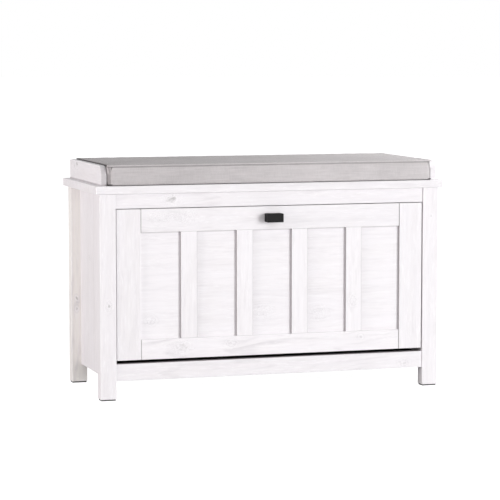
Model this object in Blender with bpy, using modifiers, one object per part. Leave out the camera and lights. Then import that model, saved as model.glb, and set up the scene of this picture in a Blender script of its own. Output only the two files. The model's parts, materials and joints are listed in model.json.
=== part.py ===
"""Shoe storage bench: a panelled tilting flap with a two-row shoe bin, in a leg-and-rail frame.

Metres, +Z up, the front faces -Y. The origin lies on the floor under the middle of the bench.
Heights stack up from the floor, depths run back from the front of the legs, and every piece that
fits in or on another takes its size from the same values and a named clearance.
"""
import math

import bmesh
import bpy
from mathutils import Euler, Matrix, Vector

# Overall form
SEAT_WIDTH = 0.894
SEAT_THICKNESS = 0.0195
SEAT_SIDE_OVERHANG = 0.010
SEAT_FRONT_OVERHANG = 0.0065
SEAT_REAR_OVERHANG = 0.015
FRAME_DEPTH = 0.340

# Legs and the glides under them
LEG_WIDTH = 0.040
LEG_DEPTH = 0.030
GLIDE_HEIGHT = 0.003
GLIDE_INSET = 0.002

# Boards of the carcass
SIDE_THICKNESS = 0.016
RAIL_THICKNESS = 0.018
RAIL_SETBACK = 0.003
FLOOR_TO_RAIL = 0.0475
BOTTOM_RAIL_HEIGHT = 0.0413
APRON_HEIGHT = 0.036
BACK_PANEL_THICKNESS = 0.003
BOTTOM_BOARD_THICKNESS = 0.016
BOTTOM_BOARD_DROP = 0.006
EDGE_EASE = 0.0010
DOWEL_RADIUS = 0.004
DOWEL_LENGTH = 0.032

# Cheeks that stand on the seat board
CHEEK_THICKNESS = 0.0135
CHEEK_HEIGHT = 0.048
CHEEK_SETBACK = 0.005
CHEEK_SIDE_SETBACK = 0.0055
CHEEK_CORNER_RADIUS = 0.026

# Seat cushion
CUSHION_SIDE_GAP = 0.0022
CUSHION_REAR_GAP = 0.002
CUSHION_HEIGHT = 0.049
CUSHION_CROWN = 0.003
CUSHION_BULGE = 0.0012
CUSHION_CORNER = 0.013
CUSHION_CELLS_ACROSS = 10
CUSHION_CELLS_DEEP = 5
SEAM_CREASE = 0.7

# Flap
DOOR_HEIGHT = 0.3675
DOOR_THICKNESS = 0.018
DOOR_TOP_GAP = 0.0018
DOOR_BOTTOM_GAP = 0.0082
DOOR_SIDE_GAP = 0.002
STILE_WIDTH = 0.0605
TOP_RAIL_HEIGHT = 0.0569
LOWER_RAIL_HEIGHT = 0.0491
MULLION_WIDTH = 0.042
MULLION_COUNT = 4
DOOR_PANEL_THICKNESS = 0.011
DOOR_PANEL_LAP = 0.008

# Handle
HANDLE_WIDTH = 0.041
HANDLE_HEIGHT = 0.0212
HANDLE_LIFT = 0.0008
HANDLE_REACH = 0.028
HANDLE_EASE = 0.0012
HANDLE_SCREW_SPACING = 0.024
HANDLE_SCREW_BITE = 0.008

# Pivot pins, their bushes, and how far the flap opens
OPENING_ANGLE = math.radians(48)
PIVOT_BEHIND_FACE = 0.011
PIVOT_ABOVE_EDGE = 0.014
PIN_RADIUS = 0.004
PIN_BITE = 0.028
BUSH_WALL = 0.0018
BUSH_LENGTH = 0.014
BUSH_FLANGE_WIDTH = 0.0025
BUSH_FLANGE_THICKNESS = 0.0010
PIN_END_PLAY = 0.0012

# Shoe bin on the back of the flap
FAN_CLEARANCE = 0.012
FAN_ANGLE = math.radians(58)
FRAME_SIDE_GAP = 0.0025
PLATE_THICKNESS = 0.003
RIM_WIDTH = 0.003
RIM_DEPTH = 0.009
FLANGE_WIDTH = 0.018
FLANGE_THICKNESS = 0.003
BIN_BOARD_THICKNESS = 0.004
CHANNEL_WALL = 0.002
CHANNEL_BASE = 0.0015
RIB_ROOT = 0.0003
BIN_FLOOR_RISE = 0.026
FRONT_FLOOR_DEPTH = 0.052
REAR_FLOOR_DEPTH = 0.056
REAR_FLOOR_TILT = math.radians(28)
DIVIDER_TILT = math.radians(19.5)
REAR_BOARD_TILT = math.radians(41)
BIN_BOARD_INSET = 0.016
PLATE_MARGIN = 0.014
WINDOW_BAR = 0.007

# Curved slots and the pegs that ride in them
SLOT_RADIUS = 0.250
PEG_ANGLE = math.radians(7)
PEG_RADIUS = 0.0035
SLOT_CLEARANCE = 0.0005
PEG_SHANK_RADIUS = 0.003
PEG_SHANK_LENGTH = 0.012
PEG_FLANGE_RADIUS = 0.007
PEG_FLANGE_THICKNESS = 0.0012

# Screws
SCREW_RADIUS = 0.0018
SCREW_HEAD_RADIUS = 0.0038
SCREW_HEAD_HEIGHT = 0.0022
SCREW_DEPTH = 0.012
SCREW_END_MARGIN = 0.030

# Fits
FIT = 0.0003
OVERCUT = 0.0010
WELD_DISTANCE = 0.00001

# Facets
ROUND_SIDES = 16
ARC_STEP = math.radians(4)
RIGHT_ANGLE = math.radians(90)

# Widths, from the seat board inwards
LEG_OUTER_X = SEAT_WIDTH / 2 - SEAT_SIDE_OVERHANG
LEG_INNER_X = LEG_OUTER_X - LEG_WIDTH
CHEEK_OUTER_X = LEG_OUTER_X - CHEEK_SIDE_SETBACK
CHEEK_INNER_X = CHEEK_OUTER_X - CHEEK_THICKNESS
DOOR_HALF_WIDTH = LEG_INNER_X - DOOR_SIDE_GAP
STILE_INNER_X = DOOR_HALF_WIDTH - STILE_WIDTH
PLATE_OUTER_X = LEG_INNER_X - FRAME_SIDE_GAP
PLATE_INNER_X = PLATE_OUTER_X - PLATE_THICKNESS

# Depths, from the legs' front faces back
OVERALL_DEPTH = HANDLE_REACH - RAIL_SETBACK + FRAME_DEPTH + SEAT_REAR_OVERHANG
LEG_FRONT_Y = HANDLE_REACH - RAIL_SETBACK - OVERALL_DEPTH / 2
LEG_REAR_Y = LEG_FRONT_Y + FRAME_DEPTH
DOOR_FRONT_Y = LEG_FRONT_Y + RAIL_SETBACK
DOOR_BACK_Y = DOOR_FRONT_Y + DOOR_THICKNESS
PANEL_FRONT_Y = DOOR_BACK_Y - DOOR_PANEL_THICKNESS
SEAT_FRONT_Y = LEG_FRONT_Y - SEAT_FRONT_OVERHANG
REAR_RAIL_BACK_Y = LEG_REAR_Y - BACK_PANEL_THICKNESS

# Heights, from the floor up
RAIL_TOP_Z = FLOOR_TO_RAIL + BOTTOM_RAIL_HEIGHT
DOOR_BOTTOM_Z = RAIL_TOP_Z + DOOR_BOTTOM_GAP
DOOR_TOP_Z = DOOR_BOTTOM_Z + DOOR_HEIGHT
APRON_BOTTOM_Z = DOOR_TOP_Z + DOOR_TOP_GAP
SEAT_UNDERSIDE_Z = APRON_BOTTOM_Z + APRON_HEIGHT
SEAT_TOP_Z = SEAT_UNDERSIDE_Z + SEAT_THICKNESS

# The flap's axis, and the bin's reach about it
PIVOT = Vector((0.0, DOOR_FRONT_Y + PIVOT_BEHIND_FACE, DOOR_BOTTOM_Z + PIVOT_ABOVE_EDGE))
FAN_RADIUS = APRON_BOTTOM_Z - PIVOT.z - FAN_CLEARANCE
BIN_FRONT = DOOR_BACK_Y + FIT - PIVOT.y
CUSHION_BASE = Vector((0.0, 0.0, SEAT_TOP_Z + FIT))

# Colour, roughness and metallic value of each finish
FINISHES = {
    "white_pine": ((0.86, 0.86, 0.85), 0.45, 0.0),
    "white_hardboard": ((0.82, 0.82, 0.81), 0.60, 0.0),
    "grey_fabric": ((0.60, 0.58, 0.55), 0.90, 0.0),
    "black_metal": ((0.02, 0.02, 0.02), 0.45, 0.6),
    "grey_plastic": ((0.30, 0.31, 0.32), 0.50, 0.0),
    "bare_steel": ((0.60, 0.60, 0.62), 0.35, 1.0),
    "beech_dowel": ((0.62, 0.46, 0.29), 0.70, 0.0),
    "dark_felt": ((0.08, 0.08, 0.08), 0.95, 0.0),
}


def clear_scene():
    for obj in list(bpy.data.objects):
        bpy.data.objects.remove(obj, do_unlink=True)


def make_collection(name):
    collection = bpy.data.collections.new(name)
    bpy.context.scene.collection.children.link(collection)
    return collection


clear_scene()
PARTS = make_collection("shoe_storage_bench")
CUTTERS = make_collection("cutters")


def make_axis(name, place):
    """An empty that the pieces of one moving group hang from, on the group's axis."""
    empty = bpy.data.objects.new(name, None)
    empty.location = place
    PARTS.objects.link(empty)
    return empty


DOOR_AXIS = make_axis("door_axis", PIVOT)
CUSHION_SEAT = make_axis("cushion_seat", CUSHION_BASE)


def paint(obj, finish):
    colour, roughness, metallic = FINISHES[finish]
    material = bpy.data.materials.new(obj.name + "_" + finish)
    material.use_nodes = True
    shader = material.node_tree.nodes["Principled BSDF"]
    shader.inputs["Base Color"].default_value = (*colour, 1.0)
    shader.inputs["Roughness"].default_value = roughness
    shader.inputs["Metallic"].default_value = metallic
    obj.data.materials.append(material)


def place(obj, finish, centre, parent=None):
    """Puts a finished piece in the parts collection at a world position, under its axis if it has one."""
    PARTS.objects.link(obj)
    paint(obj, finish)
    obj.parent = parent
    obj.location = centre - (parent.location if parent else Vector())
    return obj


def box_mesh(name, size):
    mesh = bpy.data.meshes.new(name)
    shape = bmesh.new()
    bmesh.ops.create_cube(shape, size=1.0)
    bmesh.ops.scale(shape, vec=size, verts=shape.verts)
    shape.to_mesh(mesh)
    shape.free()
    return mesh


def ease_edges(obj, width=EDGE_EASE):
    bevel = obj.modifiers.new("eased edges", "BEVEL")
    bevel.width = width
    bevel.segments = 1
    bevel.limit_method = "ANGLE"


def board(name, finish, x, y, z, parent=None, ease=EDGE_EASE):
    """A flat board between two limits on each axis."""
    low, high = (Vector(pair) for pair in zip(x, y, z))
    obj = bpy.data.objects.new(name, box_mesh(name, high - low))
    if ease:
        ease_edges(obj, ease)
    return place(obj, finish, (low + high) / 2, parent)


def turned_mesh(name, profile, sides=ROUND_SIDES):
    """Revolves (radius, height) points about Z, from the top of the outer side down and round."""
    mesh = bpy.data.meshes.new(name)
    shape = bmesh.new()
    verts = [shape.verts.new((radius, 0.0, height)) for radius, height in profile]
    for start, end in zip(verts, verts[1:]):
        shape.edges.new((start, end))
    if profile[0][0] > 0.0:
        shape.edges.new((verts[-1], verts[0]))
    shape.to_mesh(mesh)
    shape.free()
    blank = bpy.data.objects.new(name + "_blank", mesh)
    CUTTERS.objects.link(blank)
    screw = blank.modifiers.new("turn", "SCREW")
    screw.steps = sides
    screw.render_steps = sides
    screw.use_merge_vertices = True
    screw.merge_threshold = WELD_DISTANCE
    turned = mesh_of(blank, name)
    turned.shade_smooth()
    turned.set_sharp_from_angle(angle=math.radians(40))
    return turned


def mesh_of(blank, name):
    """The finished mesh of a construction object, which is then removed."""
    bpy.context.view_layer.update()
    evaluated = blank.evaluated_get(bpy.context.evaluated_depsgraph_get())
    mesh = bpy.data.meshes.new_from_object(evaluated)
    mesh.name = name
    bpy.data.objects.remove(blank, do_unlink=True)
    shape = bmesh.new()
    shape.from_mesh(mesh)
    bmesh.ops.remove_doubles(shape, verts=shape.verts, dist=WELD_DISTANCE)
    bmesh.ops.recalc_face_normals(shape, faces=shape.faces)
    shape.to_mesh(mesh)
    shape.free()
    return mesh


AXIS_TURNS = {
    "+X": Euler((0.0, math.radians(90), 0.0)),
    "-X": Euler((0.0, math.radians(-90), 0.0)),
    "+Y": Euler((math.radians(-90), 0.0, 0.0)),
    "-Y": Euler((math.radians(90), 0.0, 0.0)),
}


def turned(name, finish, profile, point, axis, parent=None):
    """A turned piece whose own height runs along the given world axis from a point."""
    obj = bpy.data.objects.new(name, turned_mesh(name, profile))
    obj.rotation_euler = AXIS_TURNS[axis]
    return place(obj, finish, Vector(point), parent)


def rod(length, radius):
    return [(0.0, length), (radius, length), (radius, 0.0), (0.0, 0.0)]


def hide_cutter(cutter):
    CUTTERS.objects.link(cutter)
    cutter.hide_render = True
    cutter.display_type = "WIRE"


def cut(obj, cutter, operation="DIFFERENCE"):
    boolean = obj.modifiers.new(cutter.name, "BOOLEAN")
    boolean.operation = operation
    boolean.solver = "EXACT"
    boolean.object = cutter


def box_cutter(name, x, y, z):
    low, high = (Vector(pair) for pair in zip(x, y, z))
    cutter = bpy.data.objects.new(name, box_mesh(name, high - low))
    cutter.location = (low + high) / 2
    hide_cutter(cutter)
    return cutter


def drill(obj, point, axis, radius, depth):
    """A blind hole that starts just outside a point on the face and runs along an axis."""
    turn = AXIS_TURNS[axis]
    name = obj.name + "_hole"
    cutter = bpy.data.objects.new(name, turned_mesh(name, rod(depth + OVERCUT, radius)))
    cutter.rotation_euler = turn
    along = turn.to_matrix() @ Vector((0.0, 0.0, 1.0))
    cutter.location = Vector(point) - along * OVERCUT
    hide_cutter(cutter)
    cut(obj, cutter)


def flat_mesh(name, outlines, low_x, high_x):
    """Outlines in (depth, height) made solid between two X limits; inner outlines become holes."""
    curve = bpy.data.curves.new(name, "CURVE")
    curve.dimensions = "2D"
    curve.fill_mode = "BOTH"
    curve.extrude = (high_x - low_x) / 2
    for outline in outlines:
        spline = curve.splines.new("POLY")
        spline.points.add(len(outline) - 1)
        for point, (depth, height) in zip(spline.points, outline):
            point.co = (depth, height, 0.0, 1.0)
        spline.use_cyclic_u = True
    blank = bpy.data.objects.new(name + "_blank", curve)
    CUTTERS.objects.link(blank)
    mesh = mesh_of(blank, name)
    upright = Matrix(((0, 0, 1, 0), (1, 0, 0, 0), (0, 1, 0, 0), (0, 0, 0, 1)))
    mesh.transform(Matrix.Translation(((low_x + high_x) / 2, 0.0, 0.0)) @ upright)
    return mesh


def polar(radius, angle):
    """A (depth, height) point at an angle leaning back from upright about the flap's axis."""
    return Vector((radius * math.sin(angle), radius * math.cos(angle)))


def arc(radius, start, end, centre=Vector((0.0, 0.0))):
    count = max(2, math.ceil(abs(end - start) / ARC_STEP))
    return [centre + polar(radius, start + (end - start) * i / count) for i in range(count + 1)]


def reach(point, tilt, radius):
    """How far a line from a point, leaning back by tilt, runs until it meets a radius."""
    along = point.dot(polar(1.0, tilt))
    return -along + math.sqrt(along ** 2 - point.length_squared + radius ** 2)


def both_sides(name):
    return ((name + "_left", -1), (name + "_right", 1))


def span(side, near, far):
    """Two distances from the middle as an ordered pair of X limits on one side."""
    return tuple(sorted((side * near, side * far)))


def outward(side):
    return "+X" if side > 0 else "-X"


def inward(side):
    return "-X" if side > 0 else "+X"


def build_legs():
    """Four legs on glides; the front pair carries the flap's bushes."""
    legs = {}
    for row, front_y in (("front", LEG_FRONT_Y), ("rear", LEG_REAR_Y - LEG_DEPTH)):
        for name, side in both_sides("leg_" + row):
            across = span(side, LEG_INNER_X, LEG_OUTER_X)
            along = (front_y, front_y + LEG_DEPTH)
            legs[name] = board(name, "white_pine", across, along,
                               (GLIDE_HEIGHT + FIT, SEAT_UNDERSIDE_Z - FIT))
            board(name.replace("leg", "glide"), "dark_felt",
                  (across[0] + GLIDE_INSET, across[1] - GLIDE_INSET),
                  (along[0] + GLIDE_INSET, along[1] - GLIDE_INSET),
                  (0.0, GLIDE_HEIGHT), ease=0.0)
    return legs


def build_carcass(legs):
    """Panels and rails between the legs, each rail pinned by a dowel at both ends."""
    inside = (-LEG_INNER_X + FIT, LEG_INNER_X - FIT)
    front_boards_y = (DOOR_FRONT_Y, DOOR_FRONT_Y + RAIL_THICKNESS)
    rear_boards_y = (REAR_RAIL_BACK_Y - RAIL_THICKNESS - FIT, REAR_RAIL_BACK_Y - FIT)
    rails = {
        "apron": ("front", front_boards_y, (APRON_BOTTOM_Z, SEAT_UNDERSIDE_Z - FIT)),
        "front_bottom_rail": ("front", front_boards_y, (FLOOR_TO_RAIL, RAIL_TOP_Z)),
        "rear_top_rail": ("rear", rear_boards_y, (APRON_BOTTOM_Z, SEAT_UNDERSIDE_Z - FIT)),
        "rear_bottom_rail": ("rear", rear_boards_y, (FLOOR_TO_RAIL, RAIL_TOP_Z)),
    }
    for name, (row, depth, height) in rails.items():
        rail = board(name, "white_pine", inside, depth, height)
        for leg_name, side in both_sides("leg_" + row):
            middle = (side * LEG_INNER_X, sum(depth) / 2, sum(height) / 2)
            hole_radius = DOWEL_RADIUS + FIT
            hole_depth = DOWEL_LENGTH / 2 + FIT
            drill(rail, middle, inward(side), hole_radius, hole_depth)
            drill(legs[leg_name], middle, outward(side), hole_radius, hole_depth)
            start = Vector(middle) - Vector((side * DOWEL_LENGTH / 2, 0.0, 0.0))
            turned("dowel_" + name + leg_name.replace("leg_" + row, ""), "beech_dowel",
                   rod(DOWEL_LENGTH, DOWEL_RADIUS), start, outward(side))
    panels = {}
    panel_y = (LEG_FRONT_Y + LEG_DEPTH + FIT, LEG_REAR_Y - LEG_DEPTH - FIT)
    for name, side in both_sides("side_panel"):
        panels[side] = board(name, "white_pine", span(side, LEG_INNER_X, LEG_INNER_X + SIDE_THICKNESS),
                             panel_y, (FLOOR_TO_RAIL, SEAT_UNDERSIDE_Z - FIT))
    board("back_panel", "white_hardboard", inside, (REAR_RAIL_BACK_Y, LEG_REAR_Y),
          (FLOOR_TO_RAIL, SEAT_UNDERSIDE_Z - FIT), ease=0.0)
    board_top = RAIL_TOP_Z - BOTTOM_BOARD_DROP
    board("bottom_board", "white_pine", inside, (front_boards_y[1] + FIT, rear_boards_y[0] - FIT),
          (board_top - BOTTOM_BOARD_THICKNESS, board_top))
    return panels


def build_seat():
    """Seat board with a cheek standing at each end."""
    half = SEAT_WIDTH / 2
    board("seat_board", "white_pine", (-half, half),
          (SEAT_FRONT_Y, LEG_REAR_Y + SEAT_REAR_OVERHANG), (SEAT_UNDERSIDE_Z, SEAT_TOP_Z))
    low = SEAT_TOP_Z + FIT
    high = SEAT_TOP_Z + CHEEK_HEIGHT
    front = LEG_FRONT_Y + CHEEK_SETBACK
    corner = Vector((front + CHEEK_CORNER_RADIUS, high - CHEEK_CORNER_RADIUS))
    outline = [Vector((LEG_REAR_Y, low)), Vector((front, low))]
    outline += arc(CHEEK_CORNER_RADIUS, -RIGHT_ANGLE, 0.0, corner)
    outline.append(Vector((LEG_REAR_Y, high)))
    for name, side in both_sides("cheek"):
        across = span(side, CHEEK_INNER_X, CHEEK_OUTER_X)
        cheek = bpy.data.objects.new(name, flat_mesh(name, [outline], *across))
        ease_edges(cheek)
        place(cheek, "white_pine", Vector())


def round_corner(point, half_width, half_depth, radius):
    """Moves a point that lies in a square plan corner onto the corner's arc."""
    over = Vector((abs(point.x) - half_width + radius, abs(point.y) - half_depth + radius))
    if over.x > 0.0 and over.y > 0.0 and over.length > radius:
        over *= radius / over.length
        point.x = math.copysign(half_width - radius + over.x, point.x)
        point.y = math.copysign(half_depth - radius + over.y, point.y)


def build_cushion():
    """Boxed cushion: a coarse cage with creased seams, a crown on top and softly bulging sides."""
    half_width = CHEEK_INNER_X - CUSHION_SIDE_GAP - CUSHION_BULGE
    front = SEAT_FRONT_Y + CUSHION_BULGE
    rear = LEG_REAR_Y - CUSHION_REAR_GAP
    half_depth = (rear - front) / 2
    mesh = box_mesh("seat_cushion", Vector((2 * half_width, 2 * half_depth, CUSHION_HEIGHT)))
    cage = bmesh.new()
    cage.from_mesh(mesh)
    bmesh.ops.translate(cage, verts=cage.verts, vec=(0.0, 0.0, CUSHION_HEIGHT / 2))
    cuts = []
    for axis, half, cells in ((0, half_width, CUSHION_CELLS_ACROSS), (1, half_depth, CUSHION_CELLS_DEEP)):
        inner = half - CUSHION_CORNER
        cuts += [(axis, inner * (2 * i / cells - 1)) for i in range(cells + 1)]
    cuts += [(2, CUSHION_HEIGHT * share) for share in (0.25, 0.75)]
    for axis, offset in cuts:
        normal = Vector((0.0, 0.0, 0.0))
        normal[axis] = 1.0
        bmesh.ops.bisect_plane(cage, geom=cage.verts[:] + cage.edges[:] + cage.faces[:],
                               plane_co=normal * offset, plane_no=normal)
    crease = cage.edges.layers.float.new("crease_edge")
    for edge in cage.edges:
        heights = {round(vert.co.z, 6) for vert in edge.verts}
        on_side = any(abs(face.normal.z) < 0.5 for face in edge.link_faces)
        if len(heights) == 1 and on_side and heights <= {0.0, round(CUSHION_HEIGHT, 6)}:
            edge[crease] = SEAM_CREASE
    for vert in cage.verts:
        along = vert.co.x / half_width
        deep = vert.co.y / half_depth
        if vert.co.z > CUSHION_HEIGHT - WELD_DISTANCE:
            vert.co.z += CUSHION_CROWN * (1 - along ** 4) * (1 - deep ** 4)
        elif vert.co.z > WELD_DISTANCE:
            vert.co.x += math.copysign(CUSHION_BULGE, vert.co.x) * (abs(along) > 1 - WELD_DISTANCE)
            vert.co.y += math.copysign(CUSHION_BULGE, vert.co.y) * (abs(deep) > 1 - WELD_DISTANCE)
        round_corner(vert.co, half_width, half_depth, CUSHION_CORNER)
    cage.to_mesh(mesh)
    cage.free()
    cushion = bpy.data.objects.new("seat_cushion", mesh)
    subdivision = cushion.modifiers.new("soft form", "SUBSURF")
    subdivision.levels = 1
    subdivision.render_levels = 1
    mesh.shade_smooth()
    place(cushion, "grey_fabric", Vector((0.0, (front + rear) / 2, CUSHION_BASE.z)), CUSHION_SEAT)


def build_door():
    """Framed flap: stiles and rails round a panel set in a rebate, with mullions planted on its face."""
    stiles = {}
    depth = (DOOR_FRONT_Y, DOOR_BACK_Y)
    for name, side in both_sides("door_stile"):
        stiles[side] = board(name, "white_pine", span(side, STILE_INNER_X, DOOR_HALF_WIDTH), depth,
                             (DOOR_BOTTOM_Z, DOOR_TOP_Z), DOOR_AXIS)
    between = (-STILE_INNER_X + FIT, STILE_INNER_X - FIT)
    field = (DOOR_BOTTOM_Z + LOWER_RAIL_HEIGHT, DOOR_TOP_Z - TOP_RAIL_HEIGHT)
    top_rail = board("door_top_rail", "white_pine", between, depth, (field[1], DOOR_TOP_Z), DOOR_AXIS)
    low_rail = board("door_bottom_rail", "white_pine", between, depth, (DOOR_BOTTOM_Z, field[0]), DOOR_AXIS)
    pitch = (2 * STILE_INNER_X + MULLION_WIDTH) / (MULLION_COUNT + 1)
    for index in range(MULLION_COUNT):
        left = -STILE_INNER_X - MULLION_WIDTH + pitch * (index + 1)
        board("door_mullion_" + str(index + 1), "white_pine", (left, left + MULLION_WIDTH),
              (DOOR_FRONT_Y, PANEL_FRONT_Y - FIT), (field[0] + FIT, field[1] - FIT), DOOR_AXIS)
    lap_x = STILE_INNER_X + DOOR_PANEL_LAP
    lap_z = (field[0] - DOOR_PANEL_LAP, field[1] + DOOR_PANEL_LAP)
    board("door_panel", "white_pine", (-lap_x, lap_x), (PANEL_FRONT_Y, DOOR_BACK_Y), lap_z, DOOR_AXIS, 0.0)
    rebate = box_cutter("panel_rebate", (-lap_x - FIT, lap_x + FIT),
                        (PANEL_FRONT_Y - FIT, DOOR_BACK_Y + OVERCUT), (lap_z[0] - FIT, lap_z[1] + FIT))
    for piece in (*stiles.values(), top_rail, low_rail):
        cut(piece, rebate)
    build_handle(top_rail, (field[1] + DOOR_TOP_Z) / 2 + HANDLE_LIFT)
    return stiles


def screw_profile(length):
    """A pan-head screw, head down at the origin and its point towards +Z."""
    return [(0.0, length + SCREW_HEAD_HEIGHT), (SCREW_RADIUS, length + SCREW_HEAD_HEIGHT - SCREW_RADIUS),
            (SCREW_RADIUS, SCREW_HEAD_HEIGHT), (SCREW_HEAD_RADIUS, SCREW_HEAD_HEIGHT),
            (SCREW_HEAD_RADIUS, SCREW_HEAD_HEIGHT / 3), (SCREW_HEAD_RADIUS * 0.7, 0.0), (0.0, 0.0)]


def build_handle(top_rail, height):
    """Block handle held by two screws through the top rail."""
    back = DOOR_FRONT_Y - FIT
    handle = board("handle", "black_metal", (-HANDLE_WIDTH / 2, HANDLE_WIDTH / 2),
                   (DOOR_FRONT_Y - HANDLE_REACH, back),
                   (height - HANDLE_HEIGHT / 2, height + HANDLE_HEIGHT / 2), DOOR_AXIS, HANDLE_EASE)
    for name, side in both_sides("handle_screw"):
        x = side * HANDLE_SCREW_SPACING / 2
        drill(top_rail, (x, DOOR_BACK_Y, height), "-Y", SCREW_RADIUS + FIT, DOOR_THICKNESS + OVERCUT)
        drill(handle, (x, back, height), "-Y", SCREW_RADIUS + FIT, HANDLE_SCREW_BITE + FIT)
        head_y = DOOR_BACK_Y + FIT + SCREW_HEAD_HEIGHT
        turned(name, "bare_steel", screw_profile(head_y - SCREW_HEAD_HEIGHT - back + HANDLE_SCREW_BITE),
               (x, head_y, height), "-Y", DOOR_AXIS)


def build_pivots(legs, stiles):
    """Steel pins in the flap's lower corners, turning in flanged bushes in the front legs."""
    bore = PIN_RADIUS + FIT
    wall = bore + BUSH_WALL
    flange = wall + BUSH_FLANGE_WIDTH
    tube_end = BUSH_FLANGE_THICKNESS + FIT
    bush_profile = [(wall, tube_end + BUSH_LENGTH), (wall, tube_end), (flange, tube_end - FIT),
                    (flange, 0.0), (bore, 0.0), (bore, tube_end + BUSH_LENGTH)]
    pin_length = PIN_BITE + DOOR_SIDE_GAP + BUSH_LENGTH - PIN_END_PLAY
    for (leg_name, side), (pin_name, _) in zip(both_sides("leg_front"), both_sides("pivot_pin")):
        face = Vector((side * LEG_INNER_X, PIVOT.y, PIVOT.z))
        drill(legs[leg_name], face, outward(side), wall + FIT, BUSH_LENGTH + 2 * FIT)
        step = Vector((side, 0.0, 0.0))
        turned(pin_name.replace("pin", "bush"), "grey_plastic", bush_profile, face - step * tube_end,
               outward(side))
        door_end = Vector((side * DOOR_HALF_WIDTH, PIVOT.y, PIVOT.z))
        drill(stiles[side], door_end, inward(side), bore, PIN_BITE + FIT)
        turned(pin_name, "bare_steel", rod(pin_length, PIN_RADIUS), door_end - step * PIN_BITE,
               outward(side), DOOR_AXIS)


def build_pegs(panels):
    """Flanged pegs in the side panels, whose noses ride in the bin's curved slots."""
    nose_end = FRAME_SIDE_GAP + PLATE_THICKNESS - RIB_ROOT - FIT
    profile = [(0.0, nose_end), (PEG_RADIUS, nose_end), (PEG_RADIUS, PEG_FLANGE_THICKNESS),
               (PEG_FLANGE_RADIUS, PEG_FLANGE_THICKNESS), (PEG_FLANGE_RADIUS, FIT),
               (PEG_SHANK_RADIUS, FIT), (PEG_SHANK_RADIUS, -PEG_SHANK_LENGTH), (0.0, -PEG_SHANK_LENGTH)]
    seat = polar(SLOT_RADIUS, PEG_ANGLE)
    for name, side in both_sides("stop_peg"):
        point = Vector((side * LEG_INNER_X, PIVOT.y + seat.x, PIVOT.z + seat.y))
        drill(panels[side], point, outward(side), PEG_SHANK_RADIUS + FIT, PEG_SHANK_LENGTH + FIT)
        turned(name, "grey_plastic", profile, point, inward(side))


def foot_behind(floor, tilt):
    """Where a board that leans back by tilt starts, just clear of a pocket floor's rear end."""
    half = BIN_BOARD_THICKNESS / 2
    start, angle, length = floor
    under = polar(half, angle + RIGHT_ANGLE)
    lowest = start + polar(length, angle) + under
    normal = polar(1.0, tilt + RIGHT_ANGLE)
    overhang = max(0.0, -2 * under.dot(normal))
    return lowest + normal * (overhang + FIT + half)


def floor_behind(upright, angle, rise):
    """Where a pocket floor starts, just clear of a leaning board and a little way up it."""
    half = BIN_BOARD_THICKNESS / 2
    start, tilt, _ = upright
    normal = polar(1.0, tilt + RIGHT_ANGLE)
    corner = abs(polar(half, angle + RIGHT_ANGLE).dot(normal))
    return start + polar(rise, tilt) + normal * (half + FIT + corner)


def bin_lines():
    """Each bin board as (start, tilt, length): its middle line in the flap's own (depth, height)."""
    edge = FAN_RADIUS - BIN_BOARD_INSET
    front_floor = (Vector((BIN_FRONT + FLANGE_THICKNESS + 2 * FIT, BIN_FLOOR_RISE)), RIGHT_ANGLE,
                   FRONT_FLOOR_DEPTH)
    foot = foot_behind(front_floor, DIVIDER_TILT)
    divider = (foot, DIVIDER_TILT, reach(foot, DIVIDER_TILT, edge))
    floor_angle = RIGHT_ANGLE + REAR_FLOOR_TILT
    rear_floor = (floor_behind(divider, floor_angle, 2 * BIN_BOARD_THICKNESS), floor_angle,
                  REAR_FLOOR_DEPTH)
    foot = foot_behind(rear_floor, REAR_BOARD_TILT)
    rear_board = (foot, REAR_BOARD_TILT, reach(foot, REAR_BOARD_TILT, edge))
    return {"front_floor": front_floor, "divider": divider, "rear_floor": rear_floor,
            "rear_board": rear_board}


def bar_mesh(name, line, thickness, low_x, high_x, extra=0.0):
    """A straight bar along a bin board's line, longer by extra at each end."""
    start, tilt, length = line
    side = polar(thickness / 2, tilt + RIGHT_ANGLE)
    first = start - polar(extra, tilt)
    last = start + polar(length + extra, tilt)
    return flat_mesh(name, [[first - side, first + side, last + side, last - side]], low_x, high_x)


def slot_outline(start, end, half_width):
    """A curved slot about the flap's axis with round ends."""
    outline = arc(SLOT_RADIUS + half_width, start, end)
    outline += arc(half_width, end, end + 2 * RIGHT_ANGLE, polar(SLOT_RADIUS, end))[1:-1]
    outline += arc(SLOT_RADIUS - half_width, end, start)
    outline += arc(half_width, start + 2 * RIGHT_ANGLE, start + 4 * RIGHT_ANGLE,
                   polar(SLOT_RADIUS, start))[1:-1]
    return outline


def window_outline(front, rear, low, high, column, columns):
    """One window between two boards' lines and two radii, a share of the way across."""
    def at(radius, share):
        ends = []
        for start, tilt, offset in (front, rear):
            foot = start + polar(offset, tilt + RIGHT_ANGLE)
            ends.append(foot + polar(reach(foot, tilt, radius), tilt))
        angles = [math.atan2(point.x, point.y) for point in ends]
        return angles[0] + (angles[1] - angles[0]) * share

    def edges(radius):
        inset = WINDOW_BAR / 2 / radius
        start = at(radius, column / columns) + (inset if column else 0.0)
        end = at(radius, (column + 1) / columns) - (inset if column + 1 < columns else 0.0)
        return start, end
    return arc(high, *edges(high)) + arc(low, *reversed(edges(low)))


def plate_outline(lines):
    """The side frame's fan shape: along the flap, round the top, down behind the rear board."""
    foot, tilt, _ = lines["rear_board"]
    floor_start = lines["front_floor"][0]
    behind = foot + polar(PLATE_MARGIN, tilt + RIGHT_ANGLE)
    low_rear = behind - polar(PLATE_MARGIN, tilt)
    low_front = Vector((BIN_FRONT, floor_start.y - PLATE_MARGIN))
    middle_foot = lines["divider"][0] - Vector((0.0, PLATE_MARGIN))
    start = math.asin(BIN_FRONT / FAN_RADIUS)
    return [low_front] + arc(FAN_RADIUS, start, FAN_ANGLE) + [low_rear, middle_foot]


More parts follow.
